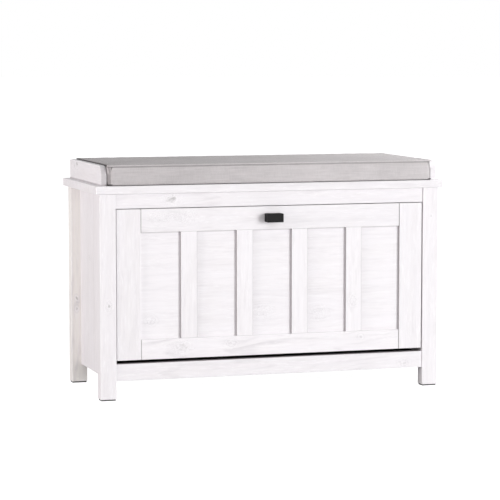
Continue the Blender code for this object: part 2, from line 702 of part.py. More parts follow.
def shrink(outline, margin):
    """The outline moved inwards by a margin, each corner along its own bisector."""
    middle = sum(outline, Vector((0.0, 0.0))) / len(outline)
    result = []
    for before, point, after in zip(outline[-1:] + outline[:-1], outline, outline[1:] + outline[:1]):
        first = (point - before).normalized()
        second = (after - point).normalized()
        normal = Vector((first.y, -first.x)) + Vector((second.y, -second.x))
        normal *= margin / (1.0 + first.dot(second))
        if normal.dot(middle - point) < 0:
            normal = -normal
        result.append(point + normal)
    return result


def bin_windows(lines):
    """Windows in three rows; the lowest row is one window wide, the others two."""
    half_pad = BIN_BOARD_THICKNESS / 2 + FIT + CHANNEL_WALL + FIT
    slot_edge = PEG_RADIUS + SLOT_CLEARANCE + WINDOW_BAR
    door_line = (Vector((BIN_FRONT, 0.0)), 0.0, FLANGE_THICKNESS + WINDOW_BAR)
    divider = lines["divider"]
    rear = lines["rear_board"]
    pockets = ((door_line, (divider[0], divider[1], -half_pad)),
               ((divider[0], divider[1], half_pad), (rear[0], rear[1], -half_pad)))
    lowest = lines["rear_board"][0].length + WINDOW_BAR
    middle = (lowest + SLOT_RADIUS - slot_edge) / 2
    rows = ((lowest, middle - WINDOW_BAR / 2, 1), (middle + WINDOW_BAR / 2, SLOT_RADIUS - slot_edge, 2),
            (SLOT_RADIUS + slot_edge, FAN_RADIUS - BIN_BOARD_INSET - WINDOW_BAR, 2))
    return [window_outline(*pocket, low, high, column, columns)
            for pocket in pockets for low, high, columns in rows for column in range(columns)]


def combine(frame, label, meshes, operation):
    """Adds meshes drawn about the flap's axis to a side frame, or cuts them all away, in one go."""
    group = bpy.data.collections.new(frame.name + "_" + label)
    CUTTERS.children.link(group)
    for mesh in meshes:
        shape = bpy.data.objects.new(mesh.name, mesh)
        shape.location = PIVOT
        shape.hide_render = True
        shape.display_type = "WIRE"
        group.objects.link(shape)
    boolean = frame.modifiers.new(label, "BOOLEAN")
    boolean.operation = operation
    boolean.solver = "EXACT"
    boolean.operand_type = "COLLECTION"
    boolean.collection = group


def build_side_frames(stiles, lines):
    """Moulded side frames: a thin fan plate with a rim, board channels, windows and the slot.

    The slot goes right through the plate; where a channel crosses behind it, only the channel's
    root shows in it, and the peg's nose stops short of that.
    """
    outer = plate_outline(lines)
    slot = slot_outline(PEG_ANGLE, PEG_ANGLE + OPENING_ANGLE, PEG_RADIUS + SLOT_CLEARANCE)
    outlines = [outer, slot] + bin_windows(lines)
    pad = BIN_BOARD_THICKNESS + 2 * (FIT + CHANNEL_WALL)
    rib_near = PLATE_INNER_X - RIM_DEPTH
    rib_far = PLATE_INNER_X + RIB_ROOT
    for name, side in both_sides("bin_side"):
        mesh = flat_mesh(name, outlines, *span(side, PLATE_INNER_X, PLATE_OUTER_X))
        frame = bpy.data.objects.new(name, mesh)
        place(frame, "grey_plastic", PIVOT, DOOR_AXIS)
        low_z = outer[0].y
        high_z = outer[1].y
        flange = [Vector((BIN_FRONT, low_z)), Vector((BIN_FRONT, high_z)),
                  Vector((BIN_FRONT + FLANGE_THICKNESS, high_z - FLANGE_THICKNESS)),
                  Vector((BIN_FRONT + FLANGE_THICKNESS, low_z + FLANGE_THICKNESS))]
        ribs = [flat_mesh(name + "_rim", [outer, shrink(outer, RIM_WIDTH)], *span(side, rib_near, rib_far)),
                flat_mesh(name + "_flange", [flange], *span(side, PLATE_OUTER_X - FLANGE_WIDTH, rib_far))]
        ribs += [bar_mesh(name + "_channel_" + label, line, pad, *span(side, rib_near, rib_far),
                          extra=FIT + CHANNEL_WALL)
                 for label, line in lines.items()]
        combine(frame, "ribs", ribs, "UNION")
        grooves = [bar_mesh(name + "_groove_" + label, line, BIN_BOARD_THICKNESS + 2 * FIT,
                            *span(side, rib_near - OVERCUT, PLATE_INNER_X - CHANNEL_BASE), extra=FIT)
                   for label, line in lines.items()]
        combine(frame, "grooves", grooves, "DIFFERENCE")
        screw_x = side * (rib_near + PLATE_OUTER_X - FLANGE_WIDTH) / 2
        flange_back = PIVOT.y + BIN_FRONT + FLANGE_THICKNESS
        for level, height in (("lower", low_z + SCREW_END_MARGIN), ("upper", high_z - SCREW_END_MARGIN)):
            point = Vector((screw_x, flange_back, PIVOT.z + height))
            drill(frame, point, "-Y", SCREW_RADIUS + FIT, FLANGE_THICKNESS + OVERCUT)
            bite = Vector((screw_x, DOOR_BACK_Y, PIVOT.z + height))
            drill(stiles[side], bite, "-Y", SCREW_RADIUS + FIT, SCREW_DEPTH + FIT)
            head = point + Vector((0.0, SCREW_HEAD_HEIGHT + FIT, 0.0))
            turned(name.replace("side", "screw") + "_" + level, "bare_steel",
                   screw_profile(head.y - SCREW_HEAD_HEIGHT - DOOR_BACK_Y + SCREW_DEPTH),
                   head, "-Y", DOOR_AXIS)


def build_bin_boards(lines):
    """Boards that slide into the side frames' channels and form the two shoe pockets."""
    half = PLATE_INNER_X - CHANNEL_BASE - FIT
    for name, line in lines.items():
        mesh = bar_mesh("bin_" + name, line, BIN_BOARD_THICKNESS, -half, half)
        place(bpy.data.objects.new("bin_" + name, mesh), "white_hardboard", PIVOT, DOOR_AXIS)


def build_bench():
    legs = build_legs()
    panels = build_carcass(legs)
    build_seat()
    build_cushion()
    stiles = build_door()
    build_pivots(legs, stiles)
    build_pegs(panels)
    lines = bin_lines()
    build_side_frames(stiles, lines)
    build_bin_boards(lines)


build_bench()
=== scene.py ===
# %% [markdown]
# # Dressing a white storage bench
#
# The solids of this bench come from its CAD source. They have the right sizes and they move as the
# real parts do, but they have no wood, no weave and no light. This lesson adds those. It starts by
# clearing Blender's own start scene, because a forgotten cube or lamp would show in the picture,
# and then loads the solids, which stay where they are to the end.

# %% Load the solids
import json
import math

import bmesh
import bpy
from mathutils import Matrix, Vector, noise

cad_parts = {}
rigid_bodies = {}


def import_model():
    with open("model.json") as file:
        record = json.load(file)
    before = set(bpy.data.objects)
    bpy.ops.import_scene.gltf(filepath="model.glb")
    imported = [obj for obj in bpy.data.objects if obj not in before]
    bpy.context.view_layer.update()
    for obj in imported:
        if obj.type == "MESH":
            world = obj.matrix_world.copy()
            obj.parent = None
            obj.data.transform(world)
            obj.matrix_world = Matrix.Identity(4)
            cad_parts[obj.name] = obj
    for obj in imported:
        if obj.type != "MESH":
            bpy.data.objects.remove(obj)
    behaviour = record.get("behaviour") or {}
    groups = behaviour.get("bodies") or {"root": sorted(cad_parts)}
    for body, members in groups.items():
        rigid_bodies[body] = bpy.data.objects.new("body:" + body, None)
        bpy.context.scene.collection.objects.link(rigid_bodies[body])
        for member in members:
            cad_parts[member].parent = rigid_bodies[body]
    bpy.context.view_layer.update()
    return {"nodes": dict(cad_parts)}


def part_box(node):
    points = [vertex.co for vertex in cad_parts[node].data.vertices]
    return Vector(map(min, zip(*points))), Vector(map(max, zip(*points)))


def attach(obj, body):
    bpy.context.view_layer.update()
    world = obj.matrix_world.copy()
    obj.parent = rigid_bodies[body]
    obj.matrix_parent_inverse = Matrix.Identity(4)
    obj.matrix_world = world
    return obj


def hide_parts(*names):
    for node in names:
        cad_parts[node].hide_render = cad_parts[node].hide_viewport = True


for leftover in list(bpy.data.objects):
    bpy.data.objects.remove(leftover, do_unlink=True)
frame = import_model()
nodes = frame["nodes"]

# %% [markdown]
# ## The camera first
#
# A product picture of a low cabinet is taken from far away with a long lens, a little to one side
# and a little above the seat, so that uprights stay almost parallel. A short lens nearby would show
# the same front but would spread the legs. The place and the turn were found by fitting the
# corners of the bench, and the lens is kept as a focal length on a 36 mm sensor.

# %% Camera
CAMERA_PLACE = (-1.692, -5.383, 0.874)
CAMERA_TURN = 17.381
CAMERA_PITCH = 5.392
FOCAL_LENGTH = 161.07
FARTHEST_SEEN = 200.0

camera = bpy.data.objects.new("camera", bpy.data.cameras.new("camera"))
bpy.context.scene.collection.objects.link(camera)
camera.location = CAMERA_PLACE
camera.rotation_euler = (math.radians(90 - CAMERA_PITCH), 0.0, math.radians(-CAMERA_TURN))
camera.data.lens = FOCAL_LENGTH
camera.data.clip_end = FARTHEST_SEEN
bpy.context.scene.camera = camera
print("camera", tuple(camera.location), "lens", camera.data.lens)

# %% [markdown]
# ## A small grammar for materials
#
# A material is a graph of nodes, and graphs are tiring to write out link by link. Python lets a
# class say what plus or times means, so a wire out of a node can be added to or multiplied like a
# number, and each such step adds one Math node. The reflected forms make `1 - mask` work too.
# Colours and vectors have their own nodes, because a Math node keeps only one number of a colour.

# %% Wires and finishes
class Wire:
    """One output of a node. Arithmetic on it adds Math nodes to its finish."""

    def __init__(self, finish, socket):
        self.finish = finish
        self.socket = socket

    def __add__(self, other):
        return self.finish.math("ADD", self, other)

    def __sub__(self, other):
        return self.finish.math("SUBTRACT", self, other)

    def __rsub__(self, other):
        return self.finish.math("SUBTRACT", other, self)

    def __mul__(self, other):
        return self.finish.math("MULTIPLY", self, other)

    __radd__ = __add__
    __rmul__ = __mul__


class Finish:
    """A material with one Principled shader, and short ways to add nodes in front of it."""

    def __init__(self, name, **constants):
        self.material = bpy.data.materials.new(name)
        self.material.use_nodes = True
        self.tree = self.material.node_tree
        self.shader = self.tree.nodes["Principled BSDF"]
        for key, value in constants.items():
            label = key.replace("_", " ").title().replace("Ior", "IOR")
            self.shader.inputs[label].default_value = value

    def node(self, kind, settings=None, sockets=None, out=0):
        """Adds one node: its settings first, then the values or wires of its sockets."""
        node = self.tree.nodes.new("ShaderNode" + kind)
        for name, value in (settings or {}).items():
            setattr(node, name, value)
        for key, value in (sockets or {}).items():
            self.feed(self.pick(node.inputs, key), value)
        return Wire(self, self.pick(node.outputs, out))

    def pick(self, sockets, key):
        """A socket by its number, its identifier or its name."""
        if isinstance(key, int):
            return sockets[key]
        return next(socket for socket in sockets if key in (socket.identifier, socket.name))

    def feed(self, socket, value):
        """Links a wire to a socket, or writes a plain value on it."""
        if isinstance(value, Wire):
            self.tree.links.new(value.socket, socket)
        else:
            socket.default_value = value

    def math(self, operation, *values):
        return self.node("Math", {"operation": operation}, dict(enumerate(values)))

    def vector(self, operation, *values):
        return self.node("VectorMath", {"operation": operation}, dict(enumerate(values)))

    def mix(self, factor, first, second):
        """A colour between two: the first where the factor is 0, the second where it is 1."""
        sockets = {"Factor_Float": factor, "A_Color": first, "B_Color": second}
        return self.node("Mix", {"data_type": "RGBA"}, sockets, "Result_Color")

    def step(self, value, low, high):
        """0 below low, 1 above high, and an S-shaped rise in between."""
        sockets = {"Value": value, "From Min": low, "From Max": high}
        return self.node("MapRange", {"interpolation_type": "SMOOTHSTEP"}, sockets, "Result")

    def place(self):
        """The point on the object itself, so that a pattern moves with its piece."""
        return self.node("TexCoord", out="Object")

    def facing(self):
        """The three parts of the direction that the surface faces, on the object itself."""
        return self.split(self.node("TexCoord", out="Normal"))

    def split(self, vector):
        node = self.node("SeparateXYZ", sockets={0: vector}).socket.node
        return [Wire(self, output) for output in node.outputs]

    def join(self, x, y, z):
        return self.node("CombineXYZ", sockets={0: x, 1: y, 2: z})

    def noise(self, vector, scale, detail=2.0, roughness=0.5):
        sockets = {"Vector": vector, "Scale": scale, "Detail": detail, "Roughness": roughness}
        return self.node("TexNoise", sockets=sockets)

    def colour(self, wire):
        self.feed(self.shader.inputs["Base Color"], wire)

    def roughness(self, wire):
        self.feed(self.shader.inputs["Roughness"], wire)

    def relief(self, height, distance, strength):
        """Height from 0 to 1 becomes a bump of that real distance, in metres."""
        sockets = {"Strength": strength, "Distance": distance, "Height": height}
        self.feed(self.shader.inputs["Normal"], self.node("Bump", sockets=sockets, out="Normal"))


def dress(finish, *names):
    """Gives a finish to solids of the bench, through their own material slots."""
    for name in names:
        for slot in nodes[name].material_slots:
            slot.material = finish.material


print("grammar ready")

# %% [markdown]
# ## Knots in white pine
#
# The boards of such a bench are chipboard or fibreboard wrapped in a printed and brushed foil:
# white paint rubbed over pine, with the growth rings, some knots and fine brush marks just
# visible. A picture of wood could be laid on, but it would need unwrapped surfaces and would
# repeat. So the wood is computed, and the knots come first, because they move the grain.
#
# A knot is the foot of a branch. The fibres part round it, which pushes the rings of the stem
# aside, and round its dark middle lie small rings of its own, worn and fresh by turns. Perfect
# rings would look printed, so a strong noise on the distance breaks them up.

# %% Knots
# The reach, breakup, core and zone are multiples of the knot's own size. A squeeze below 1 draws
# a shape out along the grain.
KNOT_RINGS_PER_METRE = 170.0
PUSH_STRENGTH = 0.85
PUSH_REACH = 2.4
PUSH_SQUEEZE = 0.31
KNOT_SQUEEZE = 0.45
KNOT_NOISE_SCALE = 170.0
KNOT_NOISE_SQUEEZE = 0.6
KNOT_BREAKUP = 3.4
KNOT_CORE = (0.35, 0.85)
KNOT_ZONE = (1.0, 3.0)


def knot_push(finish, from_middle, beside, size):
    """How far the fibres part round a knot."""
    spread = from_middle * from_middle * PUSH_SQUEEZE + beside * beside
    fading = finish.math("EXPONENT", spread * (-1.0 / (PUSH_REACH * size) ** 2))
    return beside * fading * PUSH_STRENGTH


def knot_distance(finish, along, across, from_middle, beside, size):
    """The distance from a knot's middle, made uneven so that its rings break up."""
    patch = finish.join(along * KNOT_NOISE_SQUEEZE, across, size)
    rough = finish.noise(patch, KNOT_NOISE_SCALE, 3.0, 0.65) - 0.5
    even = finish.math("SQRT", from_middle * from_middle * KNOT_SQUEEZE + beside * beside)
    return even + rough * size * KNOT_BREAKUP


def knot_marks(finish, along, across, knots):
    """The grain pushed aside by a board's knots, and their cores, zones, worn and fresh rings."""
    parted = across
    core = zones = worn = fresh = 0.0
    for knot_along, knot_across, size, dark in knots:
        from_middle = along - knot_along
        beside = across - knot_across
        parted = parted - knot_push(finish, from_middle, beside, size)
        near = knot_distance(finish, along, across, from_middle, beside, size)
        zone = 1 - finish.step(near, size * KNOT_ZONE[0], size * KNOT_ZONE[1])
        swirl = finish.math("SINE", near * (KNOT_RINGS_PER_METRE * 2 * math.pi)) * 0.5 + 0.5
        core = (1 - finish.step(near, size * KNOT_CORE[0], size * KNOT_CORE[1])) * dark + core
        zones = zone + zones
        worn = zone * swirl + worn
        fresh = zone * (1 - swirl) + fresh
    return parted, core, zones, worn, fresh


print("knots ready:", KNOT_RINGS_PER_METRE, "rings to a metre")

# %% [markdown]
# ## The foil of one board
#
# The rings are computed as in a tree: each board has its own pith, a line outside the board, and a
# ring is a distance from it. The pith leans a little, which is what draws the long arches. Noises
# drawn out along the grain then decide where the paint is worn and where it is fresh.
#
# White boards on a white ground would run together, so their joints have to be drawn as they are
# on the real thing. The paint is whiter along the rims, as a painted highlight. The ends of the
# flap's rails show a thin dark seam. Painted shade, a grey film, lies on the sides of the flap's
# uprights, on the front of the left cheek, in the corners where boards meet and on the top of the
# low rail under the flap.

# %% Pine
# For each way that a board can lie: which of x, y and z run along, across and through the board.
GRAIN = {"Z": (2, 0, 1), "X": (0, 2, 1), "Y": (1, 2, 0), "ZY": (2, 1, 0), "XY": (0, 1, 2)}
PAINT = (0.840, 0.817, 0.842, 1.0)
WARM_SHIFT = (0.982, 0.974, 0.950)
# Painted light: a paler, warmer paint lifts the left rear leg, whose faces stand in shade.
REAR_LEG_PAINTED_LIGHT = (0.940, 0.915, 0.885, 1.0)
WORN_TONE = (0.640, 0.615, 0.640, 1.0)
# Fresh paint, and the painted highlight along the rims.
FRESH_PAINT_AND_HIGHLIGHT_TONE = (0.935, 0.920, 0.940, 1.0)
KNOT_TONE = (0.330, 0.320, 0.310, 1.0)
# The grey of painted shade, in recesses, in corners and under the flap.
PAINTED_SHADE_TONE = (0.335, 0.308, 0.320, 1.0)
RINGS_PER_METRE = 150.0
RING_WANDER = 0.016
LATE_WOOD = (0.30, 0.80, 0.86, 1.0)
PITH_SWAY = 0.4
DEPTH_SWAY = 0.4
RIM_WIDTH = 0.0022
# A painted rim highlight or a line of painted shade is full up to this share of its width, and then
# fades.
FULL_SHARE = 0.4
# The seam at a rail's end: how far in it begins to show, where it is full, and how dark it is.
JOINT_FROM, JOINT_FULL, JOINT_TONE = 0.00192, 0.0006, 0.75
# A face counts as turned to an axis as its direction's part along it passes these two levels.
RIM_FACING = (0.80, 0.95)
SHADE_FACING = (0.35, 0.90)
BOARD_SHIFT = Vector((0.731, 1.319, 2.173))
# Each noise: the length and the width of its flecks in metres, its detail and its roughness.
NOISES = {
    "wander": (0.16, 0.030, 3.0, 0.5),
    "fibre": (0.090, 0.0022, 3.0, 0.6),
    "bands": (0.700, 0.016, 2.0, 0.5),
    "waves": (0.060, 0.0065, 2.0, 0.6),
    "flecks": (0.020, 0.0038, 2.0, 0.6),
    "hatch": (0.045, 0.0020, 1.0, 0.5),
    "where": (0.140, 0.040, 2.0, 0.5),
    "elsewhere": (0.090, 0.026, 2.0, 0.5),
}
# As a noise goes from the first level to the second, more of the paint is worn off or left fresh,
# up to the third number.
WORN_BANDS = (0.38, 0.72, 0.24)
WORN_WAVES = (0.50, 0.72, 0.27)
WORN_FLECKS = (0.56, 0.76, 0.34)
WORN_HATCH = (0.58, 0.78, 0.11)
WORN_RINGS = 0.50
WORN_KNOT_RINGS = 0.50
WORN_ALL = 0.52
FRESH_FLECKS = (0.48, 0.26, 0.45)
FRESH_WAVES = (0.46, 0.28, 0.30)
FRESH_EVERYWHERE = 0.05
FRESH_KNOT_RINGS = 0.42
# Levels of the same kind: the noise called where decides on the rings and on the paint's warmth,
# elsewhere on the flecks, and the flecks on the stain in a knot's middle.
FIGURED = (0.44, 0.66)
FLECKED = (0.40, 0.66)
WARMER = (0.30, 0.75, 0.35)
STAINED = (0.30, 0.60, 0.45)
STAINED_LEAST = 0.15
PAINT_ROUGHNESS = 0.46
ROUGHER = 0.10
LATE_RELIEF, FIBRE_RELIEF, FLECK_RELIEF = 0.6, 0.35, 0.25
WOOD_RELIEF, WOOD_STRENGTH = 0.00030, 0.5
boards_made = 0


def rim_mask(finish, offsets, facing, half, order):
    """1 along a board's edges, on the faces that the edge belongs to: where the painted highlight
    goes.
    """
    rims = [finish.step(finish.math("ABSOLUTE", offset), half[i] - RIM_WIDTH,
                        half[i] - RIM_WIDTH * FULL_SHARE)
            * (1 - finish.step(finish.math("ABSOLUTE", facing[i]), *RIM_FACING))
            for offset, i in zip(offsets, order)]
    return finish.math("MAXIMUM", finish.math("MAXIMUM", rims[0], rims[1]), rims[2])


def late_wood(finish, along, across, deep, pith, wander):
    """The dark part of the growth rings: the pith is given by its lean, depth and place aside."""
    lean, depth, aside = pith
    from_pith = across - aside - along * lean * PITH_SWAY
    behind = along * lean + depth
    radius = finish.math("SQRT", from_pith * from_pith + behind * behind)
    radius = radius + wander + deep * DEPTH_SWAY
    phase = finish.math("FRACT", radius * RINGS_PER_METRE)
    return (finish.step(phase, LATE_WOOD[0], LATE_WOOD[1])
            * (1 - finish.step(phase, LATE_WOOD[2], LATE_WOOD[3])))


def add_painted_shade(finish, tint, facing, height, faces, lines):
    """The tint under painted shade: on whole faces, each with its strength, and along level lines.
    """
    for i, tone in faces:
        if tone:
            turned = finish.step(finish.math("ABSOLUTE", facing[i]), *SHADE_FACING)
            tint = finish.mix(turned * tone, tint, PAINTED_SHADE_TONE)
    for level, width, tone in lines:
        off = finish.math("ABSOLUTE", height - level)
        line = 1 - finish.step(off, width * FULL_SHARE, width)
        tint = finish.mix(line * tone, tint, PAINTED_SHADE_TONE)
    return tint


def pine(name, grain, box, knots, pith, figure, paint, rim_highlight, joint, end_shade, side_shade,
         shade_lines):
    """White foil for one board: grain is its long way, box the two corners of the board."""
    global boards_made
    boards_made += 1
    finish = Finish(name, specular_ior_level=0.22)
    order = GRAIN[grain]
    middle = (box[0] + box[1]) / 2
    half = (box[1] - box[0]) / 2
    parts = finish.split(finish.place())
    along, across, deep = (parts[i] - middle[i] for i in order)
    facing = finish.facing()
    rim = rim_mask(finish, (along, across, deep), facing, half, order)
    placed = [(knot[0] - middle[order[0]], knot[1] - middle[order[1]], *knot[2:])
              for knot in knots]
    parted, knot_core, knot_zone, knot_worn, knot_fresh = knot_marks(finish, along, across, placed)
    shift = BOARD_SHIFT * boards_made
    local = finish.join(along + shift.x, parted + shift.y, deep + shift.z)

    def grain_noise(key):
        """One of the noises, drawn out along the grain."""
        length, width, detail, roughness = NOISES[key]
        stretched = finish.vector("MULTIPLY", local, (1 / length, 1 / width, 1 / width))
        return finish.noise(stretched, 1.0, detail, roughness)

    def share(value, levels, reach=1.0):
        """Nothing at a noise's first level, its third number at the second, times the reach."""
        return finish.step(value, levels[0], levels[1]) * (reach * levels[2])

    wander = (grain_noise("wander") - 0.5) * RING_WANDER
    late = late_wood(finish, along, parted, deep, pith, wander)
    fibre, bands, waves = grain_noise("fibre"), grain_noise("bands"), grain_noise("waves")
    flecks, hatch = grain_noise("flecks"), grain_noise("hatch")
    where, elsewhere = grain_noise("where"), grain_noise("elsewhere")
    figured = finish.math("MAXIMUM", finish.step(where, *FIGURED) * figure, knot_zone)
    flecked = finish.math("MAXIMUM", finish.step(elsewhere, *FLECKED), knot_zone)
    worn = (share(bands, WORN_BANDS) + share(waves, WORN_WAVES) + late * figured * WORN_RINGS
            + share(flecks, WORN_FLECKS, flecked) + share(hatch, WORN_HATCH)
            + knot_worn * WORN_KNOT_RINGS)
    # Fresh flecks and waves, and a painted highlight along the rims.
    fresh = (finish.step(flecks, FRESH_FLECKS[0], FRESH_FLECKS[1])
             * (flecked * FRESH_FLECKS[2] + FRESH_EVERYWHERE)
             + share(waves, FRESH_WAVES) + rim * rim_highlight)
    fresh = (fresh * (1 - finish.math("MINIMUM", knot_worn, 1.0))
             + knot_fresh * FRESH_KNOT_RINGS)
    warm_paint = tuple(value * shift for value, shift in zip(paint, WARM_SHIFT)) + (1.0,)
    tint = finish.mix(share(where, WARMER), paint, warm_paint)
    tint = finish.mix(worn * WORN_ALL, tint, WORN_TONE)
    tint = finish.mix(fresh, tint, FRESH_PAINT_AND_HIGHLIGHT_TONE)
    if knots:
        stain = knot_core * (share(flecks, STAINED) + STAINED_LEAST)
        tint = finish.mix(stain, tint, KNOT_TONE)
    if joint:
        seam = finish.step(finish.math("ABSOLUTE", along), half[order[0]] - JOINT_FROM,
                           half[order[0]] - JOINT_FULL)
        tint = finish.mix(seam * JOINT_TONE, tint, KNOT_TONE)
    # Painted shade on the faces at a board's ends and sides, and along lines.
    faces = ((order[0], end_shade), (order[1], side_shade))
    finish.colour(add_painted_shade(finish, tint, facing, parts[2], faces, shade_lines))
    finish.roughness(PAINT_ROUGHNESS + late * ROUGHER + fibre * ROUGHER)
    height = late * figured * LATE_RELIEF + fibre * FIBRE_RELIEF + flecks * FLECK_RELIEF
    finish.relief(height, WOOD_RELIEF, WOOD_STRENGTH)
    return finish


print("foil ready:", len(NOISES), "noises and", RINGS_PER_METRE, "rings to a metre")

# %% [markdown]
# ## What sets the boards apart
#
# No two boards of a bench are alike, and a row of equal ones would give the computer away. So each
# board gets its own pith, and the tables below say what else is its own: where its knots sit, how
# strongly its rings show and how pale its paint is. They also say where painted shade lies. The
# left rear leg's paler, warmer paint is painted light, which lifts a face that stands in shade.

# %% The boards
# Each knot: its place along and across the grain, its size, and how dark its middle is.
KNOTS = {
    "leg_front_left": [(0.2306, -0.4154, 0.0054, 0.8)],
    "leg_rear_left": [(0.2160, -0.4232, 0.0040, 0.7), (0.1903, -0.4234, 0.0034, 0.4)],
    "cheek_left": [(0.0978, 0.5615, 0.0060, 1.0), (0.1230, 0.5540, 0.0044, 0.7)],
    "apron": [(-0.2586, 0.4860, 0.0092, 0.9)],
    "door_bottom_rail": [(-0.2320, 0.1228, 0.0110, 0.4), (-0.1068, 0.1276, 0.0060, 0.0),
                         (0.232, 0.132, 0.0035, 0.0)],
    "door_top_rail": [(-0.2839, 0.4453, 0.0100, 0.0), (-0.2184, 0.4437, 0.0095, 0.0)],
    "door_panel": [(-0.0219, 0.2054, 0.0090, 0.0), (0.1246, 0.1951, 0.0095, 0.0),
                   (-0.3082, 0.1913, 0.0060, 0.0)],
    "door_mullion_4": [(0.2229, 0.2120, 0.0060, 0.0)],
    "front_bottom_rail": [(0.3496, 0.0605, 0.0055, 0.3)],
    "leg_front_right": [(0.4314, 0.4186, 0.0024, 0.2)],
    "side_panel_left": [(0.330, 0.045, 0.0055, 0.8)],
    "side_panel_right": [(0.190, -0.030, 0.0060, 0.9), (0.395, 0.060, 0.0042, 0.7)],
    "seat_board": [(0.210, 0.090, 0.0070, 0.9), (-0.300, -0.050, 0.0055, 0.7)],
}
BOARDS = {
    "Z": ["leg_front_left", "leg_front_right", "leg_rear_left", "leg_rear_right",
          "door_stile_left", "door_stile_right", "door_mullion_1", "door_mullion_2",
          "door_mullion_3", "door_mullion_4"],
    "X": ["apron", "front_bottom_rail", "rear_top_rail", "rear_bottom_rail", "door_top_rail",
          "door_bottom_rail", "door_panel"],
    "Y": ["cheek_left", "cheek_right"],
    "ZY": ["side_panel_left", "side_panel_right"],
    "XY": ["seat_board"],
}
WIDE_BOARDS = ("door_panel", "seat_board", "side_panel_left", "side_panel_right")
# The pith's lean, its depth behind the board and its place to the side, with the steps by which
# the first two differ from board to board.
PITH_LEAN, PITH_LEAN_STEP = 0.030, 0.007
PITH_DEPTH, PITH_DEPTH_STEP = 0.040, 0.012
PITH_ASIDE, PITH_ASIDE_WIDE = 0.012, 0.05
# How strongly the rings show where it isn't the plain amount.
PLAIN_FIGURE = 0.45
FIGURE = {"door_top_rail": 1.7, "door_bottom_rail": 1.9, "apron": 1.4, "front_bottom_rail": 1.3,
          "door_panel": 0.35, "door_mullion_4": 0.9, "leg_front_left": 0.5, "leg_rear_left": 1.8,
          "seat_board": 0.9}
# Painted shade greys the recessed sides of the flap's uprights.
SHADED_SIDES = ("door_mullion_1", "door_mullion_2", "door_mullion_3", "door_mullion_4",
              "door_stile_right")
SIDE_SHADE = 0.94
# Painted shade on the front of the left cheek, which the cushion keeps from the light.
CHEEK_END_SHADE = 0.58
# How strong the painted highlight along the rims is; the left cheek's is full.
RIM_HIGHLIGHT = 0.45
# Each line of painted shade: its height, how far it reaches from there, and how dark it is.
FIELD_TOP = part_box("door_top_rail")[0].z
PAINTED_SHADE_LINES = {"door_panel": [(FIELD_TOP, 0.0035, 0.40)],
              "cheek_left": [(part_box("cheek_left")[0].z, 0.0045, 0.55)],
              "front_bottom_rail": [(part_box("front_bottom_rail")[1].z, 0.0008, 0.90)]}
PALER = {"door_panel": 1.03, "door_mullion_1": 1.03, "door_mullion_2": 1.03,
         "door_mullion_3": 1.03, "door_mullion_4": 1.03, "door_bottom_rail": 1.035,
         "leg_front_right": 1.02}


def paled(factor):
    """The paint made lighter by a factor."""
    return tuple(value * factor for value in PAINT[:3]) + (1.0,)


# The left rear leg gets painted light, the left cheek a full rim highlight and painted shade on its
# front, and the boards listed above painted shade on their sides and along lines.
for grain, names in BOARDS.items():
    for turn, name in enumerate(names):
        side = (-1) ** turn
        board = pine(name.replace("_", " ") + " foil", grain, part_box(name), KNOTS.get(name, ()),
                     pith=(side * (PITH_LEAN + PITH_LEAN_STEP * (turn % 3)),
                           PITH_DEPTH + PITH_DEPTH_STEP * (turn % 4),
                           side * (PITH_ASIDE_WIDE if name in WIDE_BOARDS else PITH_ASIDE)),
                     figure=FIGURE.get(name, PLAIN_FIGURE),
                     paint=REAR_LEG_PAINTED_LIGHT if name == "leg_rear_left" else paled(PALER.get(name, 1.0)),
                     rim_highlight=1.0 if name == "cheek_left" else RIM_HIGHLIGHT,
                     joint=name in ("door_top_rail", "door_bottom_rail"),
                     end_shade=CHEEK_END_SHADE if name == "cheek_left" else 0.0,
                     side_shade=SIDE_SHADE if name in SHADED_SIDES else 0.0,
                     shade_lines=PAINTED_SHADE_LINES.get(name, ()))
        dress(board, name)
print(boards_made, "boards in white pine foil")

# %% [markdown]
# ## The smaller finishes
#
# Each of these is a plain material whose surface tells what it is: hardboard painted with a roller
# keeps a fine stipple, moulded plastic has the grain of its mould, felt is a mat of fibres, powder
# coat has an orange-peel skin, zinc is faintly streaked, and a beech dowel shows short dark flecks.
# A flat colour would read as plastic in every one of them, so each gets colour and bump from noise.
#
# The gap under the flap has to be black, as on the real bench. A line of sight through it ends on
# the bottom board, so that board is oil-tempered hardboard, dark by itself and made nearly black
# as painted shade for the closed inside of the bench, while the other thin boards are painted.

# %% Hardboard, plastic, felt, metal and beech
FINE_SHARE = 0.7
BROAD_SHARE = 0.3
BROAD_SIZE = 12
MOTTLE_LEVELS = (0.35, 0.65)
RELIEF_STRENGTH = 0.8


def mottled(name, dark, light, scale, stretch=(1, 1, 1), relief=0.0001, rough=(0.5, 0.7),
            **constants):
    """A finish whose colour, roughness and relief all follow one noise pattern."""
    finish = Finish(name, **constants)
    where = finish.vector("MULTIPLY", finish.place(), stretch)
    fine = finish.noise(where, scale, 4.0, 0.6)
    broad = finish.noise(finish.place(), scale / BROAD_SIZE, 2.0)
    level = finish.step(fine * FINE_SHARE + broad * BROAD_SHARE, *MOTTLE_LEVELS)
    finish.colour(finish.mix(level, (*dark, 1.0), (*light, 1.0)))
    finish.roughness(level * (rough[1] - rough[0]) + rough[0])
    finish.relief(fine, relief, RELIEF_STRENGTH)
    return finish


hardboard = mottled("painted hardboard", (0.80, 0.795, 0.785), (0.87, 0.865, 0.86), 700,
                    relief=0.00018, rough=(0.55, 0.68))
dress(hardboard, "back_panel", "bin_front_floor", "bin_divider", "bin_rear_floor",
      "bin_rear_board")
